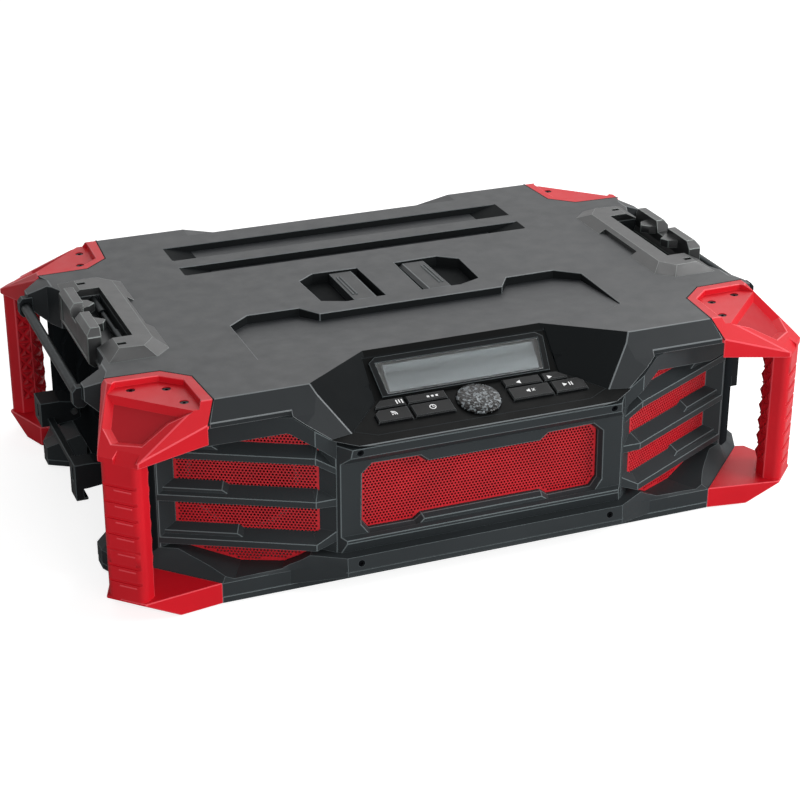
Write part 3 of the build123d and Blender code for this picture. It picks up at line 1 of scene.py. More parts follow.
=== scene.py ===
"""Dresses the jobsite radio: finishes, fine pieces, studio and camera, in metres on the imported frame."""

import json
import logging
import math
from dataclasses import dataclass, field
from enum import Enum
from typing import Callable, Optional, Sequence, Union

import bmesh
import bpy
from mathutils import Matrix, Vector
from mathutils.geometry import delaunay_2d_cdt

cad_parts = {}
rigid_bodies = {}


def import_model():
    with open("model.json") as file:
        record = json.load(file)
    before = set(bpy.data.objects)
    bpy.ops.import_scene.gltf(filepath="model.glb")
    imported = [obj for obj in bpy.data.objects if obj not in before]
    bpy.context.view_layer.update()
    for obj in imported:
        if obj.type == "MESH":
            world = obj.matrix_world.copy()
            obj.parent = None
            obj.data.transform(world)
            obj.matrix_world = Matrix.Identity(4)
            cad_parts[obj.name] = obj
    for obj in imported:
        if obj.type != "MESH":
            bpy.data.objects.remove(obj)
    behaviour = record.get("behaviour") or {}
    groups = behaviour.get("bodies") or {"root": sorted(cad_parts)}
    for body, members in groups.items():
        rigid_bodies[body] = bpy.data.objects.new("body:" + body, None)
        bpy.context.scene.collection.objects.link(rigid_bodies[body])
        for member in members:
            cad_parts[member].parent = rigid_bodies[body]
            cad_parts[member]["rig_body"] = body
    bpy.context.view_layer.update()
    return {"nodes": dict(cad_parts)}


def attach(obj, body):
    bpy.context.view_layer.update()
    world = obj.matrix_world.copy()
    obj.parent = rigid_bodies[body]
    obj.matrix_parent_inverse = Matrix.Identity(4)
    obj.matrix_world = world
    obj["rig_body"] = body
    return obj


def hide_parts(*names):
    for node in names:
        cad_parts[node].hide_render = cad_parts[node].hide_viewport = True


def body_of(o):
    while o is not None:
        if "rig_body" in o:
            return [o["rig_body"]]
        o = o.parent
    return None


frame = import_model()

Point = tuple[float, float]
Outline = Sequence[Point]
Spot = tuple[float, float, float]
Colour = tuple[float, float, float, float]
Socket = bpy.types.NodeSocket
Face = bmesh.types.BMFace
Paint = bpy.types.Material
FaceRule = Callable[[Face], bool]

MM = 0.001

log = logging.getLogger("radio")


class Side(Enum):
    """The two sides of the radio, as the sign of X."""

    RIGHT = 1
    LEFT = -1


class End(Enum):
    """The front and rear ends, as the sign of Y."""

    FRONT = -1
    REAR = 1


class Mark(Enum):
    """The plain marks moulded on the keys."""

    BARS = "bars"
    MENU = "menu"
    BACK = "back"
    FORWARD = "forward"
    WAVES = "waves"
    CLOCK = "clock"
    MUTE = "mute"
    PLAY = "play"


# ------------------------------------------------------------------ colour and node helpers
def tone(code: str) -> Colour:
    """Turns a colour code into linear light.

    Args:
        code: six hex digits, as on a paint card.

    Returns:
        Red, green, blue and full cover.
    """
    parts = [int(code[i : i + 2], 16) / 255 for i in (0, 2, 4)]
    red, green, blue = [c / 12.92 if c <= 0.04045 else ((c + 0.055) / 1.055) ** 2.4 for c in parts]
    return red, green, blue, 1.0


def scaled(colour: Colour, share: float) -> Colour:
    """A colour made lighter or darker by a share."""
    return colour[0] * share, colour[1] * share, colour[2] * share, 1.0


class Wiring:
    """Lays out the nodes of one material."""

    def __init__(self, name: str) -> None:
        """Starts a material that holds one surface shader.

        Args:
            name: the material's name.
        """
        self.material = bpy.data.materials.new(name)
        self.material.use_nodes = True
        self.tree = self.material.node_tree
        self.tree.nodes.clear()
        self.shader = self.node("ShaderNodeBsdfPrincipled")
        self.output = self.node("ShaderNodeOutputMaterial")
        self.tree.links.new(self.shader.outputs["BSDF"], self.output.inputs["Surface"])
        self.place = self.node("ShaderNodeTexCoord").outputs["Object"]

    def node(self, kind: str, **values: object) -> bpy.types.Node:
        """Adds a node and sets its plain values.

        Args:
            kind: the node's type.
            values: its plain values, by their names.

        Returns:
            The node.
        """
        made = self.tree.nodes.new(kind)
        for key, value in values.items():
            setattr(made, key, value)
        return made

    def link(self, start: Socket, end: Socket) -> None:
        """Joins two sockets."""
        self.tree.links.new(start, end)

    def paint(self, colour: Socket) -> None:
        """Feeds the surface's colour."""
        self.link(colour, self.shader.inputs["Base Color"])

    def matt(self, roughness: Socket) -> None:
        """Feeds the surface's roughness."""
        self.link(roughness, self.shader.inputs["Roughness"])

    def set(self, **values: object) -> None:
        """Sets fixed values on the surface shader, by the names of its sockets."""
        for key, value in values.items():
            self.shader.inputs[key.replace("_", " ")].default_value = value

    def noise(self, size: float, detail: float = 2.0, stretch: Optional[Vector] = None) -> Socket:
        """Adds noise.

        Args:
            size: the size of its features, in metres.
            detail: how many finer layers it has.
            stretch: a scale for each axis, where the noise runs in a direction.

        Returns:
            The noise value, from 0 to 1.
        """
        made = self.node("ShaderNodeTexNoise")
        made.inputs["Scale"].default_value = 1 / size
        made.inputs["Detail"].default_value = detail
        source = self.place
        if stretch is not None:
            mapping = self.node("ShaderNodeMapping")
            mapping.inputs["Scale"].default_value = stretch
            self.link(self.place, mapping.inputs["Vector"])
            source = mapping.outputs["Vector"]
        self.link(source, made.inputs["Vector"])
        return made.outputs["Fac"]

    def cells(self, size: float, output: str = "Distance") -> Socket:
        """Adds a cell pattern.

        Args:
            size: the size of its cells, in metres.
            output: the value of the pattern that is wanted.

        Returns:
            That value.
        """
        made = self.node("ShaderNodeTexVoronoi")
        made.inputs["Scale"].default_value = 1 / size
        self.link(self.place, made.inputs["Vector"])
        return made.outputs[output]

    def span(self, value: Socket, low: float, high: float, start: float = 0.0, stop: float = 1.0) -> Socket:
        """Maps a value from one range to another.

        Args:
            value: the value.
            low: where the new range begins.
            high: where it ends.
            start: where the old range begins.
            stop: where it ends.

        Returns:
            The mapped value.
        """
        made = self.node("ShaderNodeMapRange")
        for name, number in (("From Min", start), ("From Max", stop), ("To Min", low), ("To Max", high)):
            made.inputs[name].default_value = number
        self.link(value, made.inputs["Value"])
        return made.outputs["Result"]

    def mix(self, share: Socket, base: Union[Socket, Colour], second: Colour) -> Socket:
        """Mixes a colour into another.

        Args:
            share: how much of the second colour shows, from 0 to 1.
            base: the first colour, plain or from another node.
            second: the second colour.

        Returns:
            The mixed colour.
        """
        made = self.node("ShaderNodeMix", data_type="RGBA")
        if isinstance(base, tuple):
            made.inputs["A"].default_value = base
        else:
            self.link(base, made.inputs["A"])
        made.inputs["B"].default_value = second
        self.link(share, made.inputs["Factor"])
        return made.outputs["Result"]

    def edges(self, reach: float) -> Socket:
        """Finds the edges of the form, where the surface turns by a fiftieth or more.

        Args:
            reach: how far from an edge it counts, in metres.

        Returns:
            0 on flat ground and 1 at an edge.
        """
        rounded = self.node("ShaderNodeBevel", samples=4)
        rounded.inputs["Radius"].default_value = reach
        flat = self.node("ShaderNodeNewGeometry")
        turn = self.node("ShaderNodeVectorMath", operation="DOT_PRODUCT")
        self.link(rounded.outputs["Normal"], turn.inputs[0])
        self.link(flat.outputs["Normal"], turn.inputs[1])
        return self.span(turn.outputs["Value"], 0.0, 1.0, 0.98, 0.8)

    def bump(self, height: Socket, strength: float, depth: float) -> None:
        """Raises the surface by a height pattern.

        Args:
            height: the pattern.
            strength: how strongly it shows, from 0 to 1.
            depth: how deep it is at most, in metres.
        """
        made = self.node("ShaderNodeBump")
        made.inputs["Strength"].default_value = strength
        made.inputs["Distance"].default_value = depth
        self.link(height, made.inputs["Height"])
        self.link(made.outputs["Normal"], self.shader.inputs["Normal"])


# ------------------------------------------------------------------ finishes
@dataclass(frozen=True)
class Plastic:
    """Moulded plastic with a fine grain, faint mottling and edges painted lighter as a highlight, broken up
    like wear.
    """

    name: str
    colour: str
    # the lighter edge colour: a painted highlight, broken up like wear
    edge_wear_and_highlight: str
    roughness: float = 0.5
    gloss: float = 0.4
    grain_size: float = 0.45 * MM
    relief: float = 0.18
    grain_depth: float = 0.12 * MM
    cloud_size: float = 60 * MM
    scuff_size: float = 9 * MM
    stain_size: float = 14 * MM
    edge_reach: float = 0.9 * MM
    edge_share: float = 0.5

    def material(self) -> Paint:
        """Builds the plastic.

        Returns:
            Its material.
        """
        wiring = Wiring(self.name)
        base = tone(self.colour)
        cloud = wiring.span(wiring.noise(self.cloud_size, 3.0), 0.0, 1.0, 0.3, 0.7)
        body = wiring.mix(cloud, scaled(base, 0.92), scaled(base, 1.07))
        scuff = wiring.noise(self.scuff_size, 4.0, Vector((1.0, 0.25, 1.0)))
        # Edges found by the bevel node get the lighter colour: a painted highlight, broken up by scuff noise
        # like wear.
        wear_and_highlight_share = wiring.node("ShaderNodeMath", operation="MULTIPLY")
        wiring.link(wiring.edges(self.edge_reach), wear_and_highlight_share.inputs[0])
        wiring.link(wiring.span(scuff, 0.4 * self.edge_share, self.edge_share, 0.3, 0.65), wear_and_highlight_share.inputs[1])
        wiring.paint(wiring.mix(wear_and_highlight_share.outputs[0], body, tone(self.edge_wear_and_highlight)))
        fine = wiring.noise(self.grain_size, 2.0)
        stain = wiring.noise(self.stain_size, 5.0)
        wiring.matt(wiring.span(stain, self.roughness - 0.05, self.roughness + 0.07, 0.25, 0.75))
        wiring.bump(fine, self.relief, self.grain_depth)
        wiring.set(Specular_IOR_Level=self.gloss, Metallic=0.0)
        return wiring.material


@dataclass(frozen=True)
class Rubber:
    """Soft black rubber with a dusty bloom."""

    name: str
    colour: str
    bloom: str
    roughness: float = 0.85

    def material(self) -> Paint:
        """Builds the rubber.

        Returns:
            Its material.
        """
        wiring = Wiring(self.name)
        dust = wiring.span(wiring.noise(4 * MM, 6.0), 0.0, 0.35, 0.45, 0.8)
        wiring.paint(wiring.mix(dust, tone(self.colour), tone(self.bloom)))
        wiring.matt(wiring.span(wiring.noise(2 * MM), self.roughness - 0.1, self.roughness + 0.08))
        wiring.bump(wiring.cells(0.5 * MM), 0.25, 0.1 * MM)
        wiring.set(Specular_IOR_Level=0.25)
        return wiring.material


@dataclass(frozen=True)
class Metal:
    """Metal or plated metal with drawn lines and small stains."""

    name: str
    colour: str
    stain: str
    roughness: float = 0.35
    lines: Spot = (1.0, 12.0, 1.0)

    def material(self) -> Paint:
        """Builds the metal.

        Returns:
            Its material.
        """
        wiring = Wiring(self.name)
        drawn = wiring.noise(1.2 * MM, 3.0, Vector(self.lines))
        spot = wiring.span(wiring.noise(5 * MM, 4.0), 0.0, 0.6, 0.5, 0.8)
        wiring.paint(wiring.mix(spot, tone(self.colour), tone(self.stain)))
        wiring.matt(wiring.span(drawn, self.roughness - 0.08, self.roughness + 0.12))
        wiring.bump(drawn, 0.12, 0.05 * MM)
        wiring.set(Metallic=1.0)
        return wiring.material


@dataclass(frozen=True)
class Sheet:
    """Painted perforated sheet: satin paint with a fine orange peel and a soft cloudy tone."""

    name: str
    colour: str
    edge_wear_and_highlight: str
    roughness: float = 0.42

    def material(self) -> Paint:
        """Builds the painted sheet.

        Returns:
            Its material.
        """
        wiring = Wiring(self.name)
        base = tone(self.colour)
        cloud = wiring.span(wiring.noise(25 * MM, 3.0), 0.0, 1.0, 0.3, 0.7)
        wiring.paint(wiring.mix(cloud, scaled(base, 0.9), scaled(base, 1.12)))
        wiring.matt(wiring.span(wiring.noise(3 * MM, 3.0), self.roughness - 0.06, self.roughness + 0.1))
        wiring.bump(wiring.noise(0.7 * MM), 0.1, 0.08 * MM)
        wiring.set(Specular_IOR_Level=0.5)
        return wiring.material


@dataclass(frozen=True)
class Screen:
    """A dark-framed liquid crystal face: grey glass with a fine dot grid and a soft haze between two greys.
    """

    name: str
    colour: str
    shade: str
    dot: float = 0.6 * MM

    def material(self) -> Paint:
        """Builds the screen face.

        Returns:
            Its material.
        """
        wiring = Wiring(self.name)
        haze = wiring.span(wiring.noise(70 * MM, 1.0), 0.0, 1.0, 0.35, 0.65)
        body = wiring.mix(haze, tone(self.colour), tone(self.shade))
        grid = wiring.span(wiring.cells(self.dot), 0.0, 0.1, 0.25, 0.6)
        wiring.paint(wiring.mix(grid, body, tone("3a3f40")))
        wiring.matt(wiring.span(wiring.noise(8 * MM), 0.25, 0.4))
        wiring.bump(wiring.cells(self.dot), 0.05, 0.05 * MM)
        wiring.set(Specular_IOR_Level=0.4)
        return wiring.material


@dataclass(frozen=True)
class Clear:
    """Clear hard plastic with faint haze and hairline scratches."""

    name: str
    tint: str
    roughness: float = 0.04
    glint: float = 0.0
    grain_size: float = 1.1 * MM

    def material(self) -> Paint:
        """Builds the clear plastic.

        Returns:
            Its material.
        """
        wiring = Wiring(self.name)
        dust = wiring.span(wiring.noise(2 * MM, 5.0), 0.0, 0.06, 0.55, 0.8)
        wiring.paint(wiring.mix(dust, tone(self.tint), tone("c8ccce")))
        wiring.matt(wiring.span(wiring.noise(6 * MM, 4.0), self.roughness, self.roughness + 0.08))
        wiring.bump(wiring.cells(self.grain_size), 0.02 + self.glint, 0.05 * MM + self.glint * 0.4 * MM)
        wiring.set(Transmission_Weight=1.0, IOR=1.49)
        return wiring.material


@dataclass(frozen=True)
class FacetGlints:
    """Silvery moulded glass look: facet cells painted bright as glints and dark as shade, set close together.
    """

    name: str
    light: str
    dark: str
    facet: float = 2.4 * MM

    def material(self) -> Paint:
        """Builds the facets.

        Returns:
            Its material.
        """
        wiring = Wiring(self.name)
        shade = wiring.node("ShaderNodeSeparateColor")
        wiring.link(wiring.cells(self.facet, "Color"), shade.inputs["Color"])
        # Bright cells are painted glints and dark cells painted shade on the facets.
        painted_glint = wiring.span(shade.outputs["Red"], 0.0, 1.0, 0.62, 0.8)
        wiring.paint(wiring.mix(painted_glint, tone(self.dark), tone(self.light)))
        wiring.matt(wiring.span(shade.outputs["Green"], 0.12, 0.4))
        wiring.bump(wiring.cells(self.facet), 0.5, 0.5 * MM)
        wiring.set(Metallic=0.3, Coat_Weight=0.0, Specular_IOR_Level=0.3)
        return wiring.material


@dataclass(frozen=True)
class Board:
    """Green circuit board with pale tracks."""

    name: str
    colour: str
    track: str

    def material(self) -> Paint:
        """Builds the board.

        Returns:
            Its material.
        """
        wiring = Wiring(self.name)
        lines = wiring.span(wiring.cells(5 * MM), 1.0, 0.0, 0.02, 0.3)
        wiring.paint(wiring.mix(lines, tone(self.colour), tone(self.track)))
        wiring.bump(wiring.cells(5 * MM), 0.3, 0.1 * MM)
        wiring.set(Roughness=0.35)
        return wiring.material


@dataclass(frozen=True)
class Moulding:
    """The two looks of one moulded part: its faces and its rounded edges, painted lighter as a highlight."""

    face: Paint
    edge: Paint


def moulding(
    name: str, colour: str, edge: str, roughness: float, gloss: float, relief: float = 0.18
) -> Moulding:
    """Mixes the two looks of a moulded part: its faces, and a lighter copy that paints a highlight on its
    edges.

    Args:
        name: the plastic's name.
        colour: the colour of its faces.
        edge: the lighter colour of its edges, a painted highlight.
        roughness: how matt it is.
        gloss: how strongly it reflects.
        relief: the strength of its grain.

    Returns:
        The two looks.
    """
    face = Plastic(name, colour, edge, roughness, gloss, relief=relief).material()
    # The edge look is the same plastic in the lighter edge colour: a painted highlight.
    line = Plastic(name + " edge", edge, edge, roughness * 0.8, gloss * 1.2, relief=relief * 0.5).material()
    return Moulding(face, line)


class Paintbox:
    """Every finish on the radio, built once."""

    def __init__(self) -> None:
        """Mixes the finishes."""
        # The second colour of each moulding and plastic is lighter: a painted highlight on its edges.
        self.deck = moulding("deck plastic", "2b2d2f", "5b6062", 0.46, 0.36)
        # The slopes round the deck: a darker, less glossy copy of the deck plastic, painted shade.
        self.apron = Plastic("apron plastic", "212426", "6a7375", 0.46, 0.16).material()
        self.case = moulding("case plastic", "2c3032", "5c6466", 0.45, 0.12)
        self.trim = moulding("trim plastic", "1b1e20", "5a6163", 0.4, 0.3)
        self.console = moulding("console plastic", "0a0b0b", "2c3032", 0.5, 0.05)
        self.bezel = moulding("bezel plastic", "111314", "4a5052", 0.42, 0.1)
        # Recess walls, pocket floors and the walls beside the console: a near-black plastic that paints shade
        # in them.
        self.recess = Plastic("recess plastic", "161819", "22272a", 0.6, 0.03).material()
        self.key = Plastic("key plastic", "0e0f10", "7a7f81", 0.42, 0.12, edge_share=0.7).material()
        self.guard = moulding("guard plastic", "c3111f", "dc4750", 0.4, 0.24, 0.14)
        # The guard's dish and the handle triangles: a darker copy of the guard red, painted shade.
        self.dish = Plastic("guard dish plastic", "a50d1a", "c84a4c", 0.42, 0.2, relief=0.14).material()
        self.mesh = Sheet("grille paint", "b31420", "e8504e").material()
        self.mark = Plastic("key mark paint", "e8e9e9", "ffffff", 0.5, 0.3, relief=0.05).material()
        self.latch = moulding("latch plastic", "0a0c0d", "59615f", 0.4, 0.75)
        self.hook = moulding("hook plastic", "15181a", "464e50", 0.45, 0.1)
        # The inner shell: a darker, gloss-free copy of the case plastic, painted shade on the side walls.
        self.shell = Plastic("shell plastic", "191c1e", "33383a", 0.7, 0.0).material()
        self.seam = Rubber("seam shadow", "020202", "080808").material()
        self.rubber = Rubber("black rubber", "0b0c0c", "4a4844").material()
        self.screen = Screen("screen face", "8f9497", "9aa0a3").material()
        self.lens = Clear("lens plastic", "eef2f2", 0.3).material()
        # The knob's facets carry painted glints and painted shade.
        self.knob = FacetGlints("knob facets", "5c6164", "040404", 1.7 * MM).material()
        self.rod = Metal("black rod steel", "1c2022", "343a3c", 0.38).material()
        self.pin = Metal("pin steel", "8d9294", "5a5a56", 0.3).material()
        self.screw = Metal("black screw steel", "15171a", "2c2e30", 0.35).material()
        self.sink = Metal("sink aluminium", "a4a8aa", "7c8082", 0.4).material()
        self.supply = Metal("supply tin", "8a8d8c", "6d6e6a", 0.45).material()
        self.magnet = Metal("magnet iron", "37393b", "4d4136", 0.5).material()
        self.cone = Rubber("cone paper", "141516", "2c2d2e").material()
        self.board = Board("circuit board", "0f4a24", "3d7a45").material()


# ------------------------------------------------------------------ mesh helpers
@dataclass
class Draft:
    """Points and faces of one piece, gathered before the piece is made."""

    name: str
    points: list[Vector] = field(default_factory=list)
    faces: list[tuple[int, ...]] = field(default_factory=list)

    def loft(self, sections: Sequence[Sequence[Vector]]) -> None:
        """Adds a closed solid.

        Args:
            sections: its outlines from the first to the last, with as many points each.
        """
        base = len(self.points)
        count = len(sections[0])
        for section in sections:
            self.points.extend(section)
        for level in range(len(sections) - 1):
            start = base + level * count
            for i in range(count):
                j = (i + 1) % count
                self.faces.append((start + i, start + j, start + count + j, start + count + i))
        self.faces.append(tuple(base + i for i in reversed(range(count))))
        last = base + (len(sections) - 1) * count
        self.faces.append(tuple(last + i for i in range(count)))

    def prism(self, place: Matrix, outline: Outline, low: float, high: float, shrink: float = 0.0) -> None:
        """Adds a prism.

        Args:
            place: the local frame that the outline is drawn in.
            outline: its corners, in metres.
            low: where it starts along the frame's third axis.
            high: where it ends.
            shrink: how far its far end draws in towards its middle.
        """
        middle_x = sum(p[0] for p in outline) / len(outline)
        middle_y = sum(p[1] for p in outline) / len(outline)
        foot = [place @ Vector((x, y, low)) for x, y in outline]
        head = []
        for x, y in outline:
            reach = math.hypot(x - middle_x, y - middle_y) or 1.0
            share = 1 - min(shrink / reach, 0.95)
            far_x, far_y = middle_x + (x - middle_x) * share, middle_y + (y - middle_y) * share
            head.append(place @ Vector((far_x, far_y, high)))
        self.loft([foot, head])

    def spike(self, place: Matrix, outline: Outline, tip: Point, height: float, low: float) -> None:
        """Adds a pyramid.

        Args:
            place: the local frame that it stands in.
            outline: the corners of its foot.
            tip: the point that its tip stands over.
            height: the height of its tip.
            low: the height of its foot.
        """
        base = len(self.points)
        self.points.extend(place @ Vector((x, y, low)) for x, y in outline)
        self.points.append(place @ Vector((tip[0], tip[1], height)))
        count = len(outline)
        for i in range(count):
            self.faces.append((base + i, base + (i + 1) % count, base + count))
        self.faces.append(tuple(base + i for i in reversed(range(count))))

    def made(self, finish: Paint, body: str, slot: str) -> bpy.types.Object:
        """Makes the piece.

        Args:
            finish: its material.
            body: the body that it rides on.
            slot: not used.

        Returns:
            The finished object.
        """
        mesh = bpy.data.meshes.new(self.name)
        mesh.from_pydata([tuple(p) for p in self.points], [], self.faces)
        work = bmesh.new()
        work.from_mesh(mesh)
        bmesh.ops.recalc_face_normals(work, faces=work.faces)
        work.to_mesh(mesh)
        work.free()
        return finished(self.name, mesh, [finish], body)


def finished(
    name: str, mesh: bpy.types.Mesh, finishes: Sequence[Paint], body: str
) -> bpy.types.Object:
    """Turns a mesh into a piece of the radio.

    Args:
        name: the piece's name.
        mesh: its mesh, in the radio's frame.
        finishes: its materials, in the order that its faces number them.
        body: the body that it rides on.

    Returns:
        The piece.
    """
    for finish in finishes:
        mesh.materials.append(finish)
    piece = bpy.data.objects.new(name, mesh)
    bpy.context.scene.collection.objects.link(piece)
    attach(piece, body)
    log.info("made %s: %d faces", name, len(mesh.polygons))
    return piece


def local_frame(origin: Vector, across: Vector, out: Vector) -> Matrix:
    """A local frame.

    Args:
        origin: its origin.
        across: its first axis.
        out: its third axis, which it faces along.

    Returns:
        The matrix from the local frame to the radio's.
    """
    x = across.normalized()
    z = out.normalized()
    y = z.cross(x)
    rows = [(x[i], y[i], z[i], origin[i]) for i in range(3)]
    return Matrix([*rows, (0.0, 0.0, 0.0, 1.0)])


def flipped(points: Outline) -> list[Point]:
    """An outline mirrored across its first axis."""
    return [(-x, y) for x, y in reversed(points)]


def both_halves(half: Outline) -> list[Point]:
    """A closed outline from its right half."""
    return [*half, *flipped(half)]


def ring(radius: float, count: int, middle: Point = (0.0, 0.0), turn: float = 0.0) -> list[Point]:
    """Points evenly spaced on a circle.

    Args:
        radius: the circle's radius.
        count: how many points it has.
        middle: its middle.
        turn: the angle of the first point, in radians.

    Returns:
        The points.
    """
    step = 2 * math.pi / count
    turns = [turn + i * step for i in range(count)]
    return [(middle[0] + radius * math.cos(t), middle[1] + radius * math.sin(t)) for t in turns]


def toward(point: Point, middle: Point, gap: float) -> Point:
    """A point moved a short way towards another."""
    reach = math.hypot(middle[0] - point[0], middle[1] - point[1])
    return (point[0] + (middle[0] - point[0]) * gap / reach, point[1] + (middle[1] - point[1]) * gap / reach)


def inside(point: Point, outline: Outline, margin: float) -> bool:
    """Whether a point lies inside an outline and clear of its edges.

    Args:
        point: the point.
        outline: the outline's corners.
        margin: how far from each edge the point has to be.

    Returns:
        True where it lies so.
    """
    within = False
    x, y = point
    for (ax, ay), (bx, by) in zip(outline, [*outline[1:], outline[0]]):
        if (ay > y) != (by > y) and x < (bx - ax) * (y - ay) / (by - ay) + ax:
            within = not within
        length = math.hypot(bx - ax, by - ay)
        along = max(0.0, min(1.0, ((x - ax) * (bx - ax) + (y - ay) * (by - ay)) / length**2))
        if math.hypot(x - ax - along * (bx - ax), y - ay - along * (by - ay)) < margin:
            return False
    return within


# ------------------------------------------------------------------ carried-over parts
@dataclass
class SoftenedPart:
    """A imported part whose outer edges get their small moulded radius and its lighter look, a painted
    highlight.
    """

    node: str
    finish: Moulding
    slot: str
    radius: float = 0.5 * MM
    radius_shares: tuple[float, ...] = (1.0, 0.6, 0.35, 0.2)
    sharpest: float = 20.0
    flattest: float = 0.5
    weld: float = 0.002 * MM
    steps: int = 2
    most_folded: float = 60 * MM * MM
    patches: Sequence[tuple[FaceRule, Paint]] = ()
    quiet: Optional[FaceRule] = None

    def has_room(self, edge: bmesh.types.BMEdge, chosen: set[bmesh.types.BMEdge], radius: float) -> bool:
        """Whether the radius fits at both ends of an edge, on both of its faces.

        Args:
            edge: the edge.
            chosen: the edges that get the radius with it.
            radius: the radius.

        Returns:
            True where the radius fits.
        """
        for loop in edge.link_loops:
            taken = 0.0
            after = loop.link_loop_next
            for corner, neighbour in ((loop, loop.link_loop_prev.edge), (after, after.edge)):
                angle = max(corner.calc_angle(), 0.05)
                if neighbour in chosen:
                    reach = radius / math.tan(angle / 2)
                else:
                    reach = radius / math.sin(min(angle, math.radians(150)))
                if neighbour.calc_length() < reach:
                    return False
                taken += reach
            if edge.calc_length() < taken:
                return False
        return True

    def rounded_edges(self, work: bmesh.types.BMesh, radius: float) -> list[bmesh.types.BMEdge]:
        """Chooses the outer edges that take the radius.

        Args:
            work: the part.
            radius: the radius.

        Returns:
            The edges, in their own order.
        """
        chosen = {
            edge for edge in work.edges
            if len(edge.link_faces) == 2 and edge.is_convex
            and edge.calc_face_angle(0.0) > math.radians(self.sharpest)
        }
        while True:
            tight = {edge for edge in chosen if not self.has_room(edge, chosen, radius)}
            if not tight:
                return sorted(chosen, key=lambda edge: edge.index)
            chosen -= tight

    def drawn(self, radius: float) -> bpy.types.Mesh:
        """Draws a copy of the part with its outer edges rounded.

        Args:
            radius: the radius of the edges.

        Returns:
            The copy, whose faces number its looks.
        """
        work = bmesh.new()
        work.from_mesh(frame["nodes"][self.node].data)
        bmesh.ops.remove_doubles(work, verts=work.verts, dist=self.weld)
        flat = math.radians(self.flattest)
        bmesh.ops.dissolve_limit(
            work, angle_limit=flat, verts=work.verts, edges=work.edges, use_dissolve_boundaries=False
        )
        work.normal_update()
        work.edges.index_update()
        for face in work.faces:
            face.material_index = 0
            for index, (rule, _) in enumerate(self.patches):
                if rule(face):
                    face.material_index = index + 2
        # The rounded outer edges take look 1, the lighter edge colour that paints a highlight on them.
        bmesh.ops.bevel(
            work, geom=self.rounded_edges(work, radius), offset=radius, offset_type="OFFSET",
            segments=self.steps, profile=0.5, affect="EDGES", clamp_overlap=False, material=1,
            miter_outer="ARC",
        )
        # Where the quiet rule holds, rounded edges take the first patch's look instead: painted shade in
        # place of the painted highlight.
        for face in work.faces:
            if face.material_index == 1 and self.quiet and self.quiet(face):
                face.material_index = 2
        mesh = bpy.data.meshes.new(self.node + "_soft")
        work.to_mesh(mesh)
        work.free()
        return mesh

    def build(self) -> bpy.types.Object:
        """Rounds the part and stands in for it, with a smaller radius where a face would fold over.

        Returns:
            The rounded part.
        """
        for share in self.radius_shares:
            mesh = self.drawn(self.radius * share)
            if folded_area(mesh) < self.most_folded:
                break
            log.info("%s folds at a radius of %.2f mm", self.node, self.radius * share / MM)
        body = body_of(frame["nodes"][self.node])[0]
        looks = [self.finish.face, self.finish.edge, *[paint for _, paint in self.patches]]
        piece = finished(self.node + "_soft", mesh, looks, body)
        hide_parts(self.node)
        return piece


def folded_area(mesh: bpy.types.Mesh) -> float:
    """Finds how far a mesh is folded.

    Args:
        mesh: the mesh.

    Returns:
        The largest area by which the triangles of one face overlap each other.
    """
    mesh.calc_loop_triangles()
    cover = [0.0] * len(mesh.polygons)
    for triangle in mesh.loop_triangles:
        cover[triangle.polygon_index] += triangle.area
    return max(total - face.area for total, face in zip(cover, mesh.polygons))


@dataclass
class CarriedPart:
    """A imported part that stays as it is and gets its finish."""

    node: str
    finish: Paint
    slot: str

    def dress(self) -> None:
        """Puts the finish on the part."""
        source = frame["nodes"][self.node]
        source.data.materials.clear()
        source.data.materials.append(self.finish)
        log.info("dressed %s", self.node)


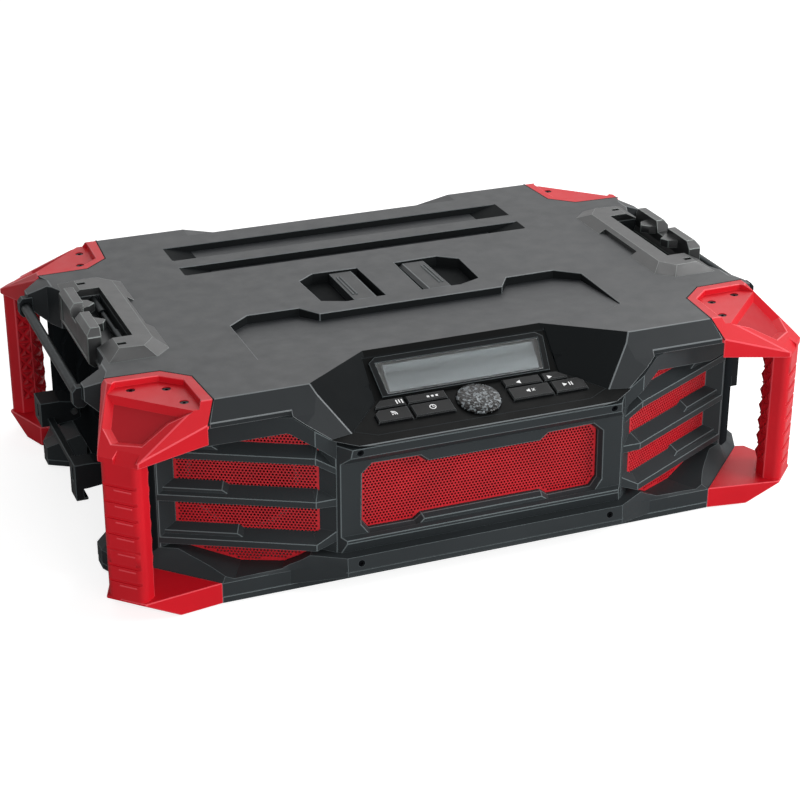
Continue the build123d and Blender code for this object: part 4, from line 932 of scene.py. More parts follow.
# ------------------------------------------------------------------ perforated sheets
@dataclass
class PerforatedSheet:
    """A sheet with close rows of six-sided holes."""

    name: str
    node: str
    place: Matrix
    outline: Outline
    body: str = "case"
    pitch: float = 2.55 * MM
    hole: float = 0.98 * MM
    cover_share: float = 0.72
    thickness: float = 1.2 * MM
    rim: float = 1.1 * MM

    def hole_middles(self) -> list[Point]:
        """Lays out the holes.

        Returns:
            The middles of those that fit inside the rim.
        """
        row_gap = self.pitch * math.sqrt(3) / 2
        low_x, high_x = min(p[0] for p in self.outline), max(p[0] for p in self.outline)
        low_y, high_y = min(p[1] for p in self.outline), max(p[1] for p in self.outline)
        middles = []
        for row in range(int((high_y - low_y) / row_gap) + 1):
            y = low_y + row * row_gap
            start = low_x + (row % 2) * self.pitch / 2
            for step in range(int((high_x - start) / self.pitch) + 1):
                spot = (start + step * self.pitch, y)
                if inside(spot, self.outline, self.rim + self.hole / 2):
                    middles.append(spot)
        return middles

    def build(self, finish: Paint, slot: str) -> bpy.types.Object:
        """Cuts the holes and stands in for the plain sheet.

        Args:
            finish: the sheet's material.
            slot: not used.

        Returns:
            The sheet.
        """
        points = [Vector(p) for p in self.outline]
        edges = [(i, (i + 1) % len(points)) for i in range(len(points))]
        loops = [list(range(len(points)))]
        middles = self.hole_middles()
        for middle in middles:
            start = len(points)
            points.extend(Vector(p) for p in ring(self.hole, 6, middle, math.pi / 6))
            edges.extend((start + i, start + (i + 1) % 6) for i in range(6))
            loops.append(list(range(start, start + 6)))
        spots, _, faces, *_ = delaunay_2d_cdt(points, edges, [], 1, 1e-7)
        holes: dict[tuple[int, int], list[Point]] = {}
        for middle in middles:
            holes.setdefault(self.cell(*middle), []).append(middle)
        kept = [face for face in faces if not self.over_hole(spots, face, holes)]
        count = len(spots)
        near = [self.place @ Vector((p.x, p.y, 0.0)) for p in spots]
        far = [self.place @ Vector((p.x, p.y, self.thickness)) for p in spots]
        solid = [tuple(reversed(face)) for face in kept] + [tuple(i + count for i in face) for face in kept]
        for loop in loops:
            for i, a in enumerate(loop):
                b = loop[(i + 1) % len(loop)]
                solid.append((a, b, b + count, a + count))
        piece = Draft(self.name, near + far, solid).made(finish, self.body, slot)
        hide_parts(self.node)
        return piece

    def cell(self, x: float, y: float) -> tuple[int, int]:
        """The square, as wide as a hole, that a point lies in."""
        return round(x / self.hole / 2), round(y / self.hole / 2)

    def over_hole(
        self, spots: Sequence[Vector], face: Sequence[int], holes: dict[tuple[int, int], list[Point]]
    ) -> bool:
        """Whether a face of the cut sheet covers a hole.

        Args:
            spots: the sheet's points.
            face: the numbers of the face's points.
            holes: the middles of the holes, by the square that they lie in.

        Returns:
            True where it covers one.
        """
        x = sum(spots[i].x for i in face) / len(face)
        y = sum(spots[i].y for i in face) / len(face)
        column, row = self.cell(x, y)
        around = [(column + i, row + j) for i in (-1, 0, 1) for j in (-1, 0, 1)]
        near = [middle for cell in around for middle in holes.get(cell, [])]
        return any(math.hypot(x - mx, y - my) < self.hole * self.cover_share for mx, my in near)


@dataclass
class Grilles:
    """The centre grille and the two speaker meshes."""

    paints: Paintbox
    front_y: float = -182.2 * MM
    thickness: float = 1.2 * MM
    centre_half: Outline = (
        (44.6 * MM, 92.1 * MM), (51.0 * MM, 97.2 * MM), (86.6 * MM, 97.9 * MM), (93.2 * MM, 92.0 * MM),
        (93.8 * MM, 53.3 * MM), (88.5 * MM, 46.1 * MM), (53.7 * MM, 45.7 * MM), (48.0 * MM, 50.1 * MM),
    )
    bay_inner: Point = (129.0 * MM, -187.0 * MM)
    bay_outer: Point = (231.0 * MM, -133.0 * MM)
    bay_depth: float = 11.2 * MM
    bay_outline: Outline = (
        (-0.8 * MM, 36.3 * MM), (12.2 * MM, 27.9 * MM), (25.7 * MM, 21.1 * MM), (57.2 * MM, 19.8 * MM),
        (91.7 * MM, 29.0 * MM), (103.8 * MM, 33.2 * MM), (103.8 * MM, 111.0 * MM), (93.0 * MM, 111.0 * MM),
        (19.0 * MM, 128.3 * MM), (0.1 * MM, 118.3 * MM), (-0.8 * MM, 118.2 * MM),
    )

    def bay_place(self) -> Matrix:
        """Places the right speaker mesh.

        Returns:
            The local frame of its back face.
        """
        run = Vector((self.bay_outer[0] - self.bay_inner[0], self.bay_outer[1] - self.bay_inner[1], 0.0))
        out = Vector((run.y, -run.x, 0.0)).normalized()
        origin = Vector((self.bay_inner[0], self.bay_inner[1], 0.0)) - out * self.bay_depth
        return local_frame(origin, run, out)

    def build(self) -> None:
        """Builds the three sheets."""
        origin = Vector((0.0, self.front_y + self.thickness, 0.0))
        front = local_frame(origin, Vector((1, 0, 0)), Vector((0, -1, 0)))
        right = self.bay_place()
        left = Matrix.Diagonal((-1, 1, 1, 1)) @ right
        for node, place, outline, name in (
            ("centre_grille", front, both_halves(self.centre_half), "centre_grille_holes"),
            ("right_speaker_mesh", right, self.bay_outline, "right_speaker_mesh_holes"),
            ("left_speaker_mesh", left, self.bay_outline, "left_speaker_mesh_holes"),
        ):
            PerforatedSheet(name, node, place, outline).build(self.paints.mesh, "mesh_red")


# ------------------------------------------------------------------ console
@dataclass
class Console:
    """The key marks and the knob on the sloping shelf, and the backs of the walls beside it."""

    paints: Paintbox
    fold: Point = (-155.5 * MM, 131.1 * MM)
    lip: Point = (-199.5 * MM, 120.0 * MM)
    back: Point = (-126.2 * MM, 158.2 * MM)
    key_top: float = 2.2 * MM
    mark_height: float = 0.16 * MM
    mark_sunk: float = 0.1 * MM
    knob_spot: Point = (1.5 * MM, -18.0 * MM)
    knob_radius: float = 16.8 * MM
    knob_base: float = 0.5 * MM
    knob_height: float = 3.4 * MM
    knob_facets: int = 26
    knob_levels: Outline = (
        (1.0, 0.0), (1.0, 0.35), (0.95, 0.62), (0.8, 0.83), (0.55, 0.95), (0.28, 0.99), (0.1, 1.0),
    )
    wall_normal: Spot = (-0.45, -0.61, 0.65)
    wall_reach: float = 147.9 * MM
    wall_patch: Outline = (
        (73.3 * MM, -155.0 * MM), (77.5 * MM, -155.0 * MM),
        (77.5 * MM, -147.0 * MM), (73.3 * MM, -145.0 * MM),
    )
    wall_depths: Point = (0.4 * MM, 1.2 * MM)
    arc_middle: Point = (-1.8, -1.2)
    marks: tuple[tuple[str, Mark, float, float], ...] = (
        ("key_equaliser", Mark.BARS, -56.5 * MM, -7.6 * MM),
        ("key_mode", Mark.MENU, -30.8 * MM, -7.4 * MM),
        ("key_previous", Mark.BACK, 37.2 * MM, -8.2 * MM),
        ("key_next", Mark.FORWARD, 62.4 * MM, -8.2 * MM),
        ("key_wireless", Mark.WAVES, -64.5 * MM, -19.2 * MM),
        ("key_clock", Mark.CLOCK, -35.0 * MM, -19.2 * MM),
        ("key_mute", Mark.MUTE, 42.5 * MM, -19.2 * MM),
        ("key_play", Mark.PLAY, 72.0 * MM, -19.2 * MM),
    )

    def shelf(self) -> Matrix:
        """Places the key shelf.

        Returns:
            Its local frame, with the second axis up the shelf.
        """
        run = Vector((0.0, self.lip[0] - self.fold[0], self.lip[1] - self.fold[1])).normalized()
        out = Vector((1.0, 0.0, 0.0)).cross(-run)
        return local_frame(Vector((0.0, *self.fold)), Vector((1.0, 0.0, 0.0)), out)

    def strokes(self, mark: Mark) -> list[list[Point]]:
        """Draws a mark.

        Args:
            mark: which mark.

        Returns:
            Its filled shapes, in millimetres about its middle.
        """
        triangle = [(1.9, 0.0), (-1.5, 1.9), (-1.5, -1.9)]
        if mark is Mark.BARS:
            return [[(x - 0.45, -low), (x + 0.45, -low), (x + 0.45, 2.2), (x - 0.45, 2.2)]
                    for x, low in ((-2.1, 2.2), (0.0, 1.4), (2.1, 2.2))]
        if mark is Mark.MENU:
            return [[(x - 0.9, -0.9), (x + 0.9, -0.9), (x + 0.9, 0.9), (x - 0.9, 0.9)]
                    for x in (-3.4, 0.0, 3.4)]
        if mark is Mark.BACK:
            return [[(-x, y) for x, y in reversed(triangle)]]
        if mark is Mark.FORWARD:
            return [triangle]
        if mark is Mark.WAVES:
            return [ring(0.6, 8, self.arc_middle), *[self.arc(reach, 0.35) for reach in (2.0, 3.4)]]
        if mark is Mark.CLOCK:
            return [*self.hoop(2.3, 0.32), [(-0.25, 0.0), (0.25, 0.0), (0.25, 1.6), (-0.25, 1.6)],
                    [(0.25, -0.25), (0.25, 0.25), (1.2, 0.25), (1.2, -0.25)]]
        if mark is Mark.MUTE:
            return [[(-3.4, -0.8), (-2.4, -0.8), (-0.9, -2.0), (-0.9, 2.0), (-2.4, 0.8), (-3.4, 0.8)],
                    [(0.6, -1.1), (1.0, -1.5), (3.2, 1.1), (2.8, 1.5)],
                    [(2.8, -1.5), (3.2, -1.1), (1.0, 1.5), (0.6, 1.1)]]
        bars = [[(x - 0.45, -1.9), (x + 0.45, -1.9), (x + 0.45, 1.9), (x - 0.45, 1.9)] for x in (1.6, 3.4)]
        return [[(x - 2.2, y) for x, y in triangle], *bars]

    def arc(self, radius: float, half_width: float) -> list[Point]:
        """Draws a quarter arc that opens up and to the right.

        Args:
            radius: its radius, in millimetres.
            half_width: half the width of its stroke.

        Returns:
            Its outline.
        """
        turns = [math.radians(-10 + 22 * i) for i in range(6)]
        x, y = self.arc_middle
        sides = [
            [(x + reach * math.cos(t), y + reach * math.sin(t)) for t in turns]
            for reach in (radius + half_width, radius - half_width)
        ]
        return sides[0] + sides[1][::-1]

    def hoop(self, radius: float, half_width: float) -> list[list[Point]]:
        """Draws a circle.

        Args:
            radius: its radius, in millimetres.
            half_width: half the width of its stroke.

        Returns:
            The outlines of its short filled pieces.
        """
        outer, inner = ring(radius + half_width, 16), ring(radius - half_width, 16)
        return [[outer[i], outer[(i + 1) % 16], inner[(i + 1) % 16], inner[i]] for i in range(16)]

    def build_marks(self) -> None:
        """Builds one mark on each key."""
        shelf = self.shelf()
        for node, mark, x, y in self.marks:
            draft = Draft(f"{node}_mark")
            for shape in self.strokes(mark):
                outline = [(x + px * MM, y + py * MM) for px, py in shape]
                draft.prism(shelf, outline, self.key_top - self.mark_sunk, self.key_top + self.mark_height)
            draft.made(self.paints.mark, body_of(frame["nodes"][node])[0], "key_black")

    def build_knob(self) -> None:
        """Builds the cut-glass dial from rings of facets."""
        shelf = self.shelf()
        draft = Draft("tuning_knob_facets")
        count = self.knob_facets
        for level, (share, rise) in enumerate(self.knob_levels):
            turn = (level % 2) * math.pi / count
            height = self.knob_base + rise * self.knob_height
            spots = ring(self.knob_radius * share, count, self.knob_spot, turn)
            draft.points.extend(shelf @ Vector((x, y, height)) for x, y in spots)
        last = (len(self.knob_levels) - 1) * count
        for low in range(0, last, count):
            high = low + count
            for i in range(count):
                j = (i + 1) % count
                if high // count % 2 == 0:
                    draft.faces += [(low + i, low + j, high + j), (low + i, high + j, high + i)]
                else:
                    draft.faces += [(low + i, low + j, high + i), (low + j, high + j, high + i)]
        draft.faces.append(tuple(reversed(range(count))))
        draft.faces.append(tuple(last + i for i in range(count)))
        piece = draft.made(self.paints.knob, body_of(frame["nodes"]["tuning_knob"])[0], "knob_clear")
        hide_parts("tuning_knob")

    def build_wall_backs(self) -> None:
        """Backs the thin walls of the cover beside both ends of the fold, in the near-black recess paint that
        paints shade there.
        """
        draft = Draft("console_wall_backs")
        for side in Side:
            out = Vector((side.value * self.wall_normal[0], *self.wall_normal[1:]))
            sheet = [Vector((side.value * x, y, self.wall_height(x, y))) for x, y in self.wall_patch]
            draft.loft([[p - out * depth for p in sheet] for depth in self.wall_depths])
        # The backs take the recess painted shade.
        draft.made(self.paints.recess, "case", "console_black")

    def wall_height(self, x: float, y: float) -> float:
        """The height of the wall beside the screen over a point."""
        nx, ny, nz = self.wall_normal
        return (self.wall_reach - nx * x - ny * y) / nz

    def floor_height(self, y: float) -> float:
        """Follows the console's floor, which folds under the screen.

        Args:
            y: a depth.

        Returns:
            The height of the floor there.
        """
        fold_y, fold_z = self.fold
        end_y, end_z = self.back if y > fold_y else self.lip
        return fold_z + (y - fold_y) * (end_z - fold_z) / (end_y - fold_y)

    def build(self) -> None:
        """Builds the marks, the knob and the wall backs."""
        self.build_marks()
        self.build_knob()
        self.build_wall_backs()


# ------------------------------------------------------------------ corner guards
@dataclass
class Handle:
    """The fine relief of the corner handles: triangles on the inner side in the dish's painted shade, ledges
    on the outer side in the guard's painted highlight colour.
    """

    paints: Paintbox
    inner_d: float = 291.0 * MM
    outer_d: float = 312.0 * MM
    middle_t: float = 65.2 * MM
    width: float = 31.5 * MM
    relief: float = 8.0 * MM
    low_z: float = 30.0 * MM
    high_z: float = 122.0 * MM
    rows: int = 7
    row_gap: float = 0.3 * MM
    triangle_gap: float = 0.3 * MM
    side_gap: float = 0.2 * MM
    sunk: float = 0.3 * MM
    height: float = 2.6 * MM
    side_height: float = 1.0 * MM
    ledge_first: float = 32.0 * MM
    ledge_drop: float = 2.6 * MM
    ledge_pitch: float = 12.5 * MM
    ledge_count: int = 7
    ledge_width: float = 1.0 * MM
    ledge_half: float = 7.0 * MM
    ledge_shift: float = 2.6 * MM
    ledge_sunk: float = 0.2 * MM
    ledge_height: float = 0.45 * MM
    ledge_draw: float = 0.3 * MM

    def upright(self, side: Side, end: End, spot: Point, facing: Point) -> Matrix:
        """A local frame on an upright face of a handle.

        Args:
            side: the side of the radio that the handle is on.
            end: the end that it is on.
            spot: the frame's origin as distances out along the corner's diagonal and across it.
            facing: the direction that the face looks in, in the same two distances.

        Returns:
            The frame: across the face, up it, and out of it.
        """
        out = Vector((side.value, end.value, 0.0)).normalized()
        across = Vector((side.value, -end.value, 0.0)).normalized()
        origin = out * spot[0] + across * spot[1]
        normal = (out * facing[0] + across * facing[1]).normalized()
        flat = Vector((0.0, 0.0, 1.0)).cross(normal)
        return local_frame(origin, flat, normal)

    def triangles(self, draft: Draft, place: Matrix, half_width: float, height: float) -> None:
        """Adds rows of four raised triangles each.

        Args:
            draft: the piece that they are part of.
            place: the local frame of the face that they stand on.
            half_width: half the width of that face.
            height: how far their tips stand out.
        """
        step = (self.high_z - self.low_z) / self.rows
        for row in range(self.rows):
            low = self.low_z + row * step + self.row_gap
            high = low + step - 2 * self.row_gap
            middle = (0.0, (low + high) / 2)
            corners = [(-half_width, low), (half_width, low), (half_width, high), (-half_width, high)]
            for i in range(4):
                a, b = corners[i], corners[(i + 1) % 4]
                centre = ((a[0] + b[0] + middle[0]) / 3, (a[1] + b[1] + middle[1]) / 3)
                inner = [toward(p, centre, self.triangle_gap) for p in (a, b, middle)]
                draft.spike(place, inner, centre, height, -self.sunk)

    def build_relief(self, side: Side, end: End) -> None:
        """Builds the triangles on the inner faces of one handle.

        Args:
            side: the side of the radio that the handle is on.
            end: the end that it is on.
        """
        flat_half = self.width / 2 - self.relief
        draft = Draft(f"guard_relief_{end.name.lower()}_{side.name.lower()}")
        inner = self.upright(side, end, (self.inner_d, self.middle_t), (-1, 0))
        self.triangles(draft, inner, flat_half - self.side_gap, self.height)
        for turn in (-1, 1):
            spot = (self.inner_d + self.relief / 2, self.middle_t + turn * (flat_half + self.relief / 2))
            slanted = self.upright(side, end, spot, (-1, turn))
            self.triangles(draft, slanted, self.relief / math.sqrt(2) - self.side_gap, self.side_height)
        # The triangles take the dish's darker red: painted shade.
        draft.made(self.paints.dish, "case", "guard_red")

    def build_ledges(self, side: Side, end: End) -> None:
        """Builds the ledges on the outer face of one handle.

        Args:
            side: the side of the radio that the handle is on.
            end: the end that it is on.
        """
        ledges = Draft(f"guard_ledges_{end.name.lower()}_{side.name.lower()}")
        face = self.upright(side, end, (self.outer_d, self.middle_t), (1, 0))
        middle = self.ledge_shift * side.value * end.value
        left, right = middle - self.ledge_half, middle + self.ledge_half
        for row in range(self.ledge_count):
            low = self.ledge_first + row * self.ledge_pitch - self.ledge_drop
            high = low + self.ledge_width
            strip = [(left, low), (right, low), (right, high), (left, high)]
            ledges.prism(face, strip, -self.ledge_sunk, self.ledge_height, self.ledge_draw)
        # The ledges take the guard's lighter edge red: a painted highlight.
        ledges.made(self.paints.guard.edge, "case", "guard_red")

    def build(self) -> None:
        """Builds the relief and the ledges of all four handles."""
        for side in Side:
            for end in End:
                self.build_relief(side, end)
                self.build_ledges(side, end)


# ------------------------------------------------------------------ seams
@dataclass
class Seams:
    """The dark joints between the guards and the cover, as thin sunk ribbons."""

    paints: Paintbox
    seat: Sequence[Spot] = (
        (202.2 * MM, -175.8 * MM, 143.6 * MM), (195.0 * MM, -166.0 * MM, 158.2 * MM),
        (197.8 * MM, -123.6 * MM, 158.2 * MM), (216.5 * MM, -106.5 * MM, 158.2 * MM),
        (256.5 * MM, -105.1 * MM, 158.2 * MM),
    )
    slope: Spot = (0.0, -0.83, 0.56)
    half_width: float = 0.5 * MM
    proud: float = 0.06 * MM
    sunk: float = 0.3 * MM

    def build_seam(self, side: Side, end: End) -> None:
        """Builds the ribbon round the seat of one guard.

        Args:
            side: the side of the radio that the guard is on.
            end: the end that it is on.
        """
        draft = Draft(f"guard_seam_{end.name.lower()}_{side.name.lower()}")
        flip = Vector((side.value, -end.value, 1))
        line = [Vector(p) * flip for p in self.seat]
        for start, stop in zip(line, line[1:]):
            on_deck = start.z == stop.z
            up = Vector((0.0, 0.0, 1.0)) if on_deck else Vector(self.slope) * flip
            place = local_frame(start, stop - start, up)
            half = self.half_width
            far = (stop - start).length + half
            strip = [(-half, -half), (far, -half), (far, half), (-half, half)]
            draft.prism(place, strip, -self.sunk, self.proud)
        draft.made(self.paints.seam, "case", "seal_rubber")

    def build(self) -> None:
        """Builds the ribbons of all four guards."""
        for side in Side:
            for end in End:
                self.build_seam(side, end)


# ------------------------------------------------------------------ studio and camera
@dataclass(frozen=True)
class Lamp:
    """One soft square lamp: where it hangs, the point it faces, its side in metres and its watts."""

    name: str
    spot: Spot
    aim: Spot
    size: float
    power: float

    def build(self) -> None:
        """Hangs the lamp."""
        light = bpy.data.lights.new(self.name, "AREA")
        light.shape = "SQUARE"
        light.size = self.size
        light.energy = self.power
        lamp = bpy.data.objects.new(self.name, light)
        lamp.location = self.spot
        lamp.rotation_mode = "QUATERNION"
        lamp.rotation_quaternion = (Vector(self.aim) - Vector(self.spot)).to_track_quat("-Z", "Y")
        bpy.context.scene.collection.objects.link(lamp)


@dataclass
class Studio:
    """Pale floor, soft lamps and the camera."""

    lamps: Sequence[Lamp] = (
        Lamp("top lamp", (0.5, 0.9, 1.5), (0.0, 0.0, 0.1), 1.4, 9.0),
        Lamp("near lamp", (0.7, 0.25, 0.8), (0.1, 0.0, 0.15), 0.5, 2.5),
        Lamp("front lamp", (-0.3, -2.0, 0.55), (0.0, 0.0, 0.1), 1.2, 22.0),
        Lamp("right lamp", (1.5, -1.0, 0.8), (0.0, 0.0, 0.1), 0.8, 24.0),
    )
    floor_reach: float = 6.0
    floor_grey: Colour = (0.5, 0.5, 0.5, 1.0)
    floor_glow: float = 0.8
    eye: Spot = (-0.5366, -1.36271, 0.73794)
    azimuth: float = -21.84
    elevation: float = 25.11
    roll: float = -0.13
    lens: float = 89.606
    sensor: float = 36.0
    clip: Point = (0.05, 50.0)
    world_light: float = 0.32

    def build_floor(self) -> None:
        """Lays the floor, white to the camera, with the radio's shadow on it."""
        wiring = Wiring("floor paint")
        r = self.floor_reach
        mesh = bpy.data.meshes.new("floor")
        mesh.from_pydata([(-r, -r, 0), (r, -r, 0), (r, r, 0), (-r, r, 0)], [], [(0, 1, 2, 3)])
        floor = bpy.data.objects.new("floor", mesh)
        bpy.context.scene.collection.objects.link(floor)
        wiring.set(Base_Color=self.floor_grey, Roughness=0.9, Specular_IOR_Level=0.0)
        path = wiring.node("ShaderNodeLightPath")
        glow = wiring.node("ShaderNodeMath", operation="MULTIPLY")
        glow.inputs[1].default_value = self.floor_glow
        wiring.link(path.outputs["Is Camera Ray"], glow.inputs[0])
        wiring.set(Emission_Color=(1.0, 1.0, 1.0, 1.0))
        wiring.link(glow.outputs[0], wiring.shader.inputs["Emission Strength"])
        mesh.materials.append(wiring.material)

    def build_world(self) -> None:
        """Sets a white surround that the camera and the gloss see in full."""
        world = bpy.data.worlds.new("surround")
        world.use_nodes = True
        bpy.context.scene.world = world
        tree = world.node_tree
        tree.nodes.clear()
        path = tree.nodes.new("ShaderNodeLightPath")
        seen = path.outputs["Is Camera Ray"]
        for kind in ("Is Transmission Ray", "Is Glossy Ray"):
            either = tree.nodes.new("ShaderNodeMath")
            either.operation = "MAXIMUM"
            tree.links.new(seen, either.inputs[0])
            tree.links.new(path.outputs[kind], either.inputs[1])
            seen = either.outputs[0]
        level = tree.nodes.new("ShaderNodeMapRange")
        level.inputs["To Min"].default_value = self.world_light
        level.inputs["To Max"].default_value = 1.0
        tree.links.new(seen, level.inputs["Value"])
        back = tree.nodes.new("ShaderNodeBackground")
        back.inputs["Color"].default_value = (1.0, 1.0, 1.0, 1.0)
        tree.links.new(level.outputs["Result"], back.inputs["Strength"])
        out = tree.nodes.new("ShaderNodeOutputWorld")
        tree.links.new(back.outputs["Background"], out.inputs["Surface"])

    def build_camera(self) -> None:
        """Sets up the camera."""
        a, e = math.radians(self.azimuth), math.radians(self.elevation)
        back = Vector((math.sin(a) * math.cos(e), -math.cos(a) * math.cos(e), math.sin(e)))
        camera = bpy.data.cameras.new("camera")
        camera.lens = self.lens
        camera.sensor_width = self.sensor
        camera.clip_start, camera.clip_end = self.clip
        stand = bpy.data.objects.new("camera", camera)
        stand.location = self.eye
        stand.rotation_mode = "QUATERNION"
        turn = Matrix.Rotation(math.radians(-self.roll), 3, back)
        stand.rotation_quaternion = (turn @ (-back).to_track_quat("-Z", "Y").to_matrix()).to_quaternion()
        bpy.context.scene.collection.objects.link(stand)
        bpy.context.scene.camera = stand

    def build(self) -> None:
        """Builds the floor, the surround, the lamps and the camera."""
        self.build_floor()
        self.build_world()
        for lamp in self.lamps:
            lamp.build()
        self.build_camera()
        bpy.context.scene.view_settings.view_transform = "Standard"


# ------------------------------------------------------------------ the whole radio
@dataclass(frozen=True)
class Span:
    """A range of heights, depths or distances, open at both ends."""

    low: float
    high: float

    def holds(self, value: float) -> bool:
        """Whether a value lies in the range."""
        return self.low < value < self.high


@dataclass
class Cover:
    """Where the cover is not plain deck: its recesses, its apron and the sunk seat of the console."""

    paints: Paintbox
    console: Console
    recess_x: Span = Span(-0.2, 0.2)
    recess_y: Span = Span(-0.128, 0.15)
    recess_z: Span = Span(0.148, 0.1582)
    pocket_x: Span = Span(-0.07, 0.07)
    pocket_y: Span = Span(-0.035, 0.035)
    pocket_top: float = 0.1515
    seat_x: Span = Span(-0.11, 0.11)
    seat_y: Span = Span(-0.1995, -0.126)
    seat_z: Span = Span(0.117, 0.157)
    wall_x: Span = Span(-0.14, 0.14)
    wall_front: float = -0.12
    wall_lean: Point = (0.45, -0.61)
    wall_slack: float = 0.1
    rim_x: Span = Span(-0.104, 0.104)
    rim_y: Span = Span(-0.198, -0.1275)
    rim_height: float = 3.0 * MM
    corner_x: Span = Span(0.0725, 0.084)
    corner_y: Span = Span(-0.16, -0.14)

    def in_recess(self, face: Face) -> bool:
        """Whether a face is a wall of the deck's recesses or the floor of a pocket.

        Args:
            face: a face of the cover.

        Returns:
            True where it is.
        """
        x, y, z = face.calc_center_median()
        over_deck = self.recess_x.holds(x) and self.recess_y.holds(y) and self.recess_z.holds(z)
        in_pocket = z < self.pocket_top and self.pocket_x.holds(x) and self.pocket_y.holds(y)
        return over_deck and (abs(face.normal.z) < 0.98 or in_pocket)

    def in_console(self, face: Face) -> bool:
        """Whether a face is the sloping seat of the console.

        Args:
            face: a face of the cover.

        Returns:
            True where it is.
        """
        x, y, z = face.calc_center_median()
        slope = face.normal.z > 0.5 and abs(face.normal.x) < 0.05 and face.normal.y < -0.1
        return slope and self.seat_x.holds(x) and self.seat_y.holds(y) and self.seat_z.holds(z)

    def on_console_wall(self, face: Face) -> bool:
        """Whether a face is a wall beside the console.

        Args:
            face: a face of the cover.

        Returns:
            True where it is.
        """
        x, y, _ = face.calc_center_median()
        off_x, off_y = abs(face.normal.x) - self.wall_lean[0], face.normal.y - self.wall_lean[1]
        turned = abs(off_x) < self.wall_slack and abs(off_y) < self.wall_slack
        return turned and y < self.wall_front and self.wall_x.holds(x)

    def on_apron(self, face: Face) -> bool:
        """Whether a face is one of the slopes round the deck.

        Args:
            face: a face of the cover.

        Returns:
            True where it is.
        """
        other = self.in_console(face) or self.in_recess(face) or self.on_console_wall(face)
        return face.normal.z < 0.85 and not other

    def round_console(self, face: Face) -> bool:
        """Whether a rounded edge lies round the console panel, where it stays dark: painted shade in place of
        the painted highlight.

        Args:
            face: a face of the rounded edge.

        Returns:
            True where it lies there.
        """
        x, y, z = face.calc_center_median()
        low = z < self.console.floor_height(y) + self.rim_height
        at_corner = self.corner_x.holds(abs(x)) and self.corner_y.holds(y)
        return self.rim_x.holds(x) and self.rim_y.holds(y) and (low or at_corner)

    def patches(self) -> list[tuple[FaceRule, Paint]]:
        """Lists the cover's other looks.

        Returns:
            Each rule with the look of the faces that it holds for.
        """
        # Recess walls, pocket floors and the console walls get the recess painted shade, the slopes round the
        # deck the darker apron painted shade, and the console seat the console's own black.
        return [
            (self.in_recess, self.paints.recess), (self.in_console, self.paints.console.face),
            (self.on_console_wall, self.paints.recess), (self.on_apron, self.paints.apron),
        ]


@dataclass
class Guards:
    """Where a corner guard is not plain: the sunk dish on its slope, painted a darker red as shade."""

    paints: Paintbox
    slope_start: Point = (0.268, 0.1542)
    slope_end: Point = (0.312, 0.1286)
    dish_d: Span = Span(0.269, 0.303)
    dish_depth: Span = Span(0.003, 0.007)
    dish_lean: Span = Span(0.75, 0.95)

    def in_dish(self, face: Face) -> bool:
        """Whether a face is the floor of the dish.

        Args:
            face: a face of the guard.

        Returns:
            True where it is.
        """
        x, y, z = face.calc_center_median()
        out = (abs(x) + abs(y)) / math.sqrt(2)
        (near, top), (far, bottom) = self.slope_start, self.slope_end
        surface = top - (out - near) * (top - bottom) / (far - near)
        sunk = self.dish_depth.holds(surface - z)
        return self.dish_d.holds(out) and sunk and self.dish_lean.holds(face.normal.z)

    def patches(self) -> list[tuple[FaceRule, Paint]]:
        """The rule for the dish, with its look: a darker red painted shade."""
        # The dish faces take the darker red painted shade.
        return [(self.in_dish, self.paints.dish)]


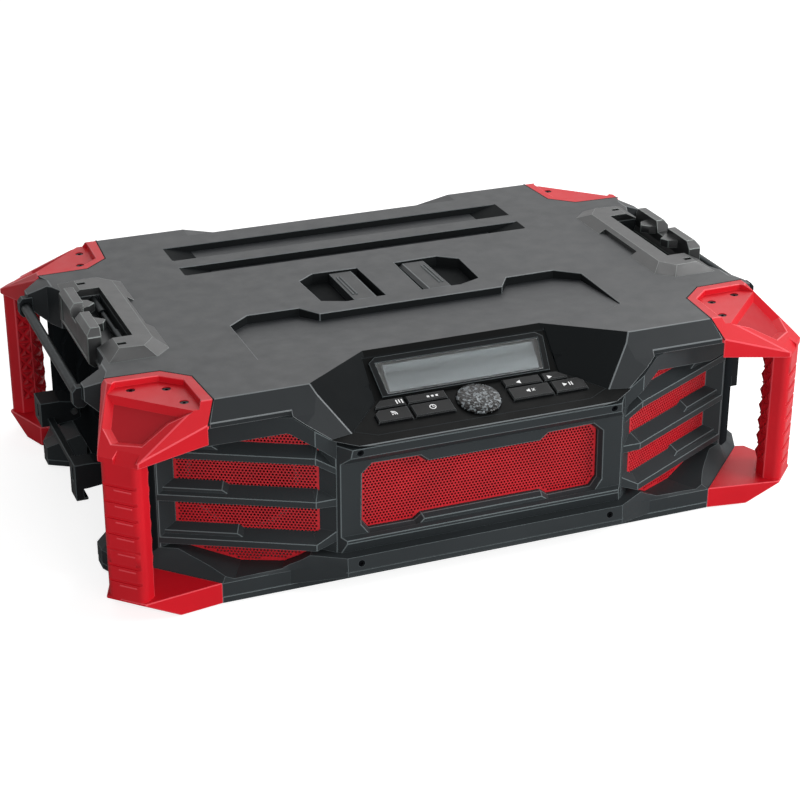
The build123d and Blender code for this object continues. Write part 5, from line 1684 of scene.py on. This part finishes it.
@dataclass
class Housing:
    """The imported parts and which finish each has."""

    paints: Paintbox
    console: Console

    def softened(self) -> list[SoftenedPart]:
        """Lists the moulded parts whose edges show.

        Returns:
            The parts with their finishes.
        """
        p = self.paints
        cover = Cover(p, self.console)
        dishes = Guards(p).patches()
        sides = [side.name.lower() for side in Side]
        corners = [f"{end.name.lower()}_{side}" for side in sides for end in End]
        return [
            SoftenedPart(
                "top_cover", p.deck, "deck_grey", 0.6 * MM, patches=cover.patches(), quiet=cover.round_console
            ),
            SoftenedPart("base_tray", p.case, "case_grey"),
            SoftenedPart("bottom_plate", p.case, "case_grey"),
            SoftenedPart("grille_frame", p.case, "case_grey"),
            SoftenedPart("left_louvre_frame", p.case, "case_grey", 0.4 * MM),
            SoftenedPart("right_louvre_frame", p.case, "case_grey", 0.4 * MM),
            *[SoftenedPart(f"guard_{corner}", p.guard, "guard_red", 0.7 * MM, patches=dishes)
              for corner in corners],
            *[SoftenedPart(f"latch_frame_{side}", p.latch, "latch_black") for side in sides],
            *[SoftenedPart(f"latch_lever_{side}", p.latch, "latch_black") for side in sides],
            *[SoftenedPart(f"slide_lock_{side}", p.trim, "trim_black") for side in sides],
            *[SoftenedPart(f"stack_latch_{side}", p.hook, "latch_black") for side in sides],
            SoftenedPart("rod_arms", p.hook, "latch_black"),
            SoftenedPart("console_panel", p.console, "console_black", 0.3 * MM),
            SoftenedPart("display_bezel", p.bezel, "bezel_grey", 0.4 * MM),
            SoftenedPart("rear_panel", p.case, "case_grey"),
            SoftenedPart("battery_door", p.trim, "trim_black"),
            SoftenedPart("mains_inlet", p.trim, "trim_black", 0.3 * MM),
        ]

    def carried(self) -> list[CarriedPart]:
        """Lists the parts that keep their packed form.

        Returns:
            The parts with their finishes.
        """
        p = self.paints
        keys = ("equaliser", "mode", "previous", "next", "wireless", "clock", "mute", "play")
        return [
            *[CarriedPart(f"key_{name}", p.key, "key_black") for name in keys],
            # The shell takes the darker painted shade copy of the case plastic.
            CarriedPart("body_shell", p.shell, "case_grey"),
            CarriedPart("display_lens", p.lens, "lens_clear"),
            CarriedPart("display_module", p.screen, "display_grey"),
            CarriedPart("guard_screws", p.screw, "screw_black"),
            CarriedPart("case_screws", p.screw, "screw_black"),
            CarriedPart("side_rods", p.rod, "rod_dark"),
            CarriedPart("latch_bars", p.rod, "rod_dark"),
            CarriedPart("lever_pins", p.pin, "pin_steel"),
            CarriedPart("stack_latch_pins", p.pin, "pin_steel"),
            CarriedPart("door_hinge_pin", p.pin, "pin_steel"),
            CarriedPart("lid_seal", p.rubber, "seal_rubber"),
            CarriedPart("rubber_feet", p.rubber, "foot_rubber"),
            CarriedPart("key_mat", p.rubber, "mat_rubber"),
            CarriedPart("control_board", p.board, "board_green"),
            CarriedPart("main_board", p.board, "board_green"),
            CarriedPart("knob_encoder", p.supply, "encoder_grey"),
            CarriedPart("amplifier_heat_sink", p.sink, "sink_metal"),
            CarriedPart("power_supply", p.supply, "supply_metal"),
            CarriedPart("speaker_baskets", p.supply, "basket_metal"),
            CarriedPart("speaker_magnets", p.magnet, "magnet_iron"),
            CarriedPart("speaker_cones", p.cone, "cone_black"),
            CarriedPart("bass_radiator", p.cone, "radiator_black"),
            CarriedPart("battery_dock", p.trim.face, "trim_black"),
        ]

    def build(self) -> None:
        """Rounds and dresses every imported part."""
        for part in self.softened():
            part.build()
        for part in self.carried():
            part.dress()


def main() -> None:
    """Builds the radio's pieces in order and reports each."""
    logging.basicConfig(level=logging.INFO, format="%(message)s")
    paints = Paintbox()
    console = Console(paints)
    Studio().build()
    Housing(paints, console).build()
    Grilles(paints).build()
    console.build()
    Handle(paints).build()
    Seams(paints).build()


if __name__ == "__main__":
    main()
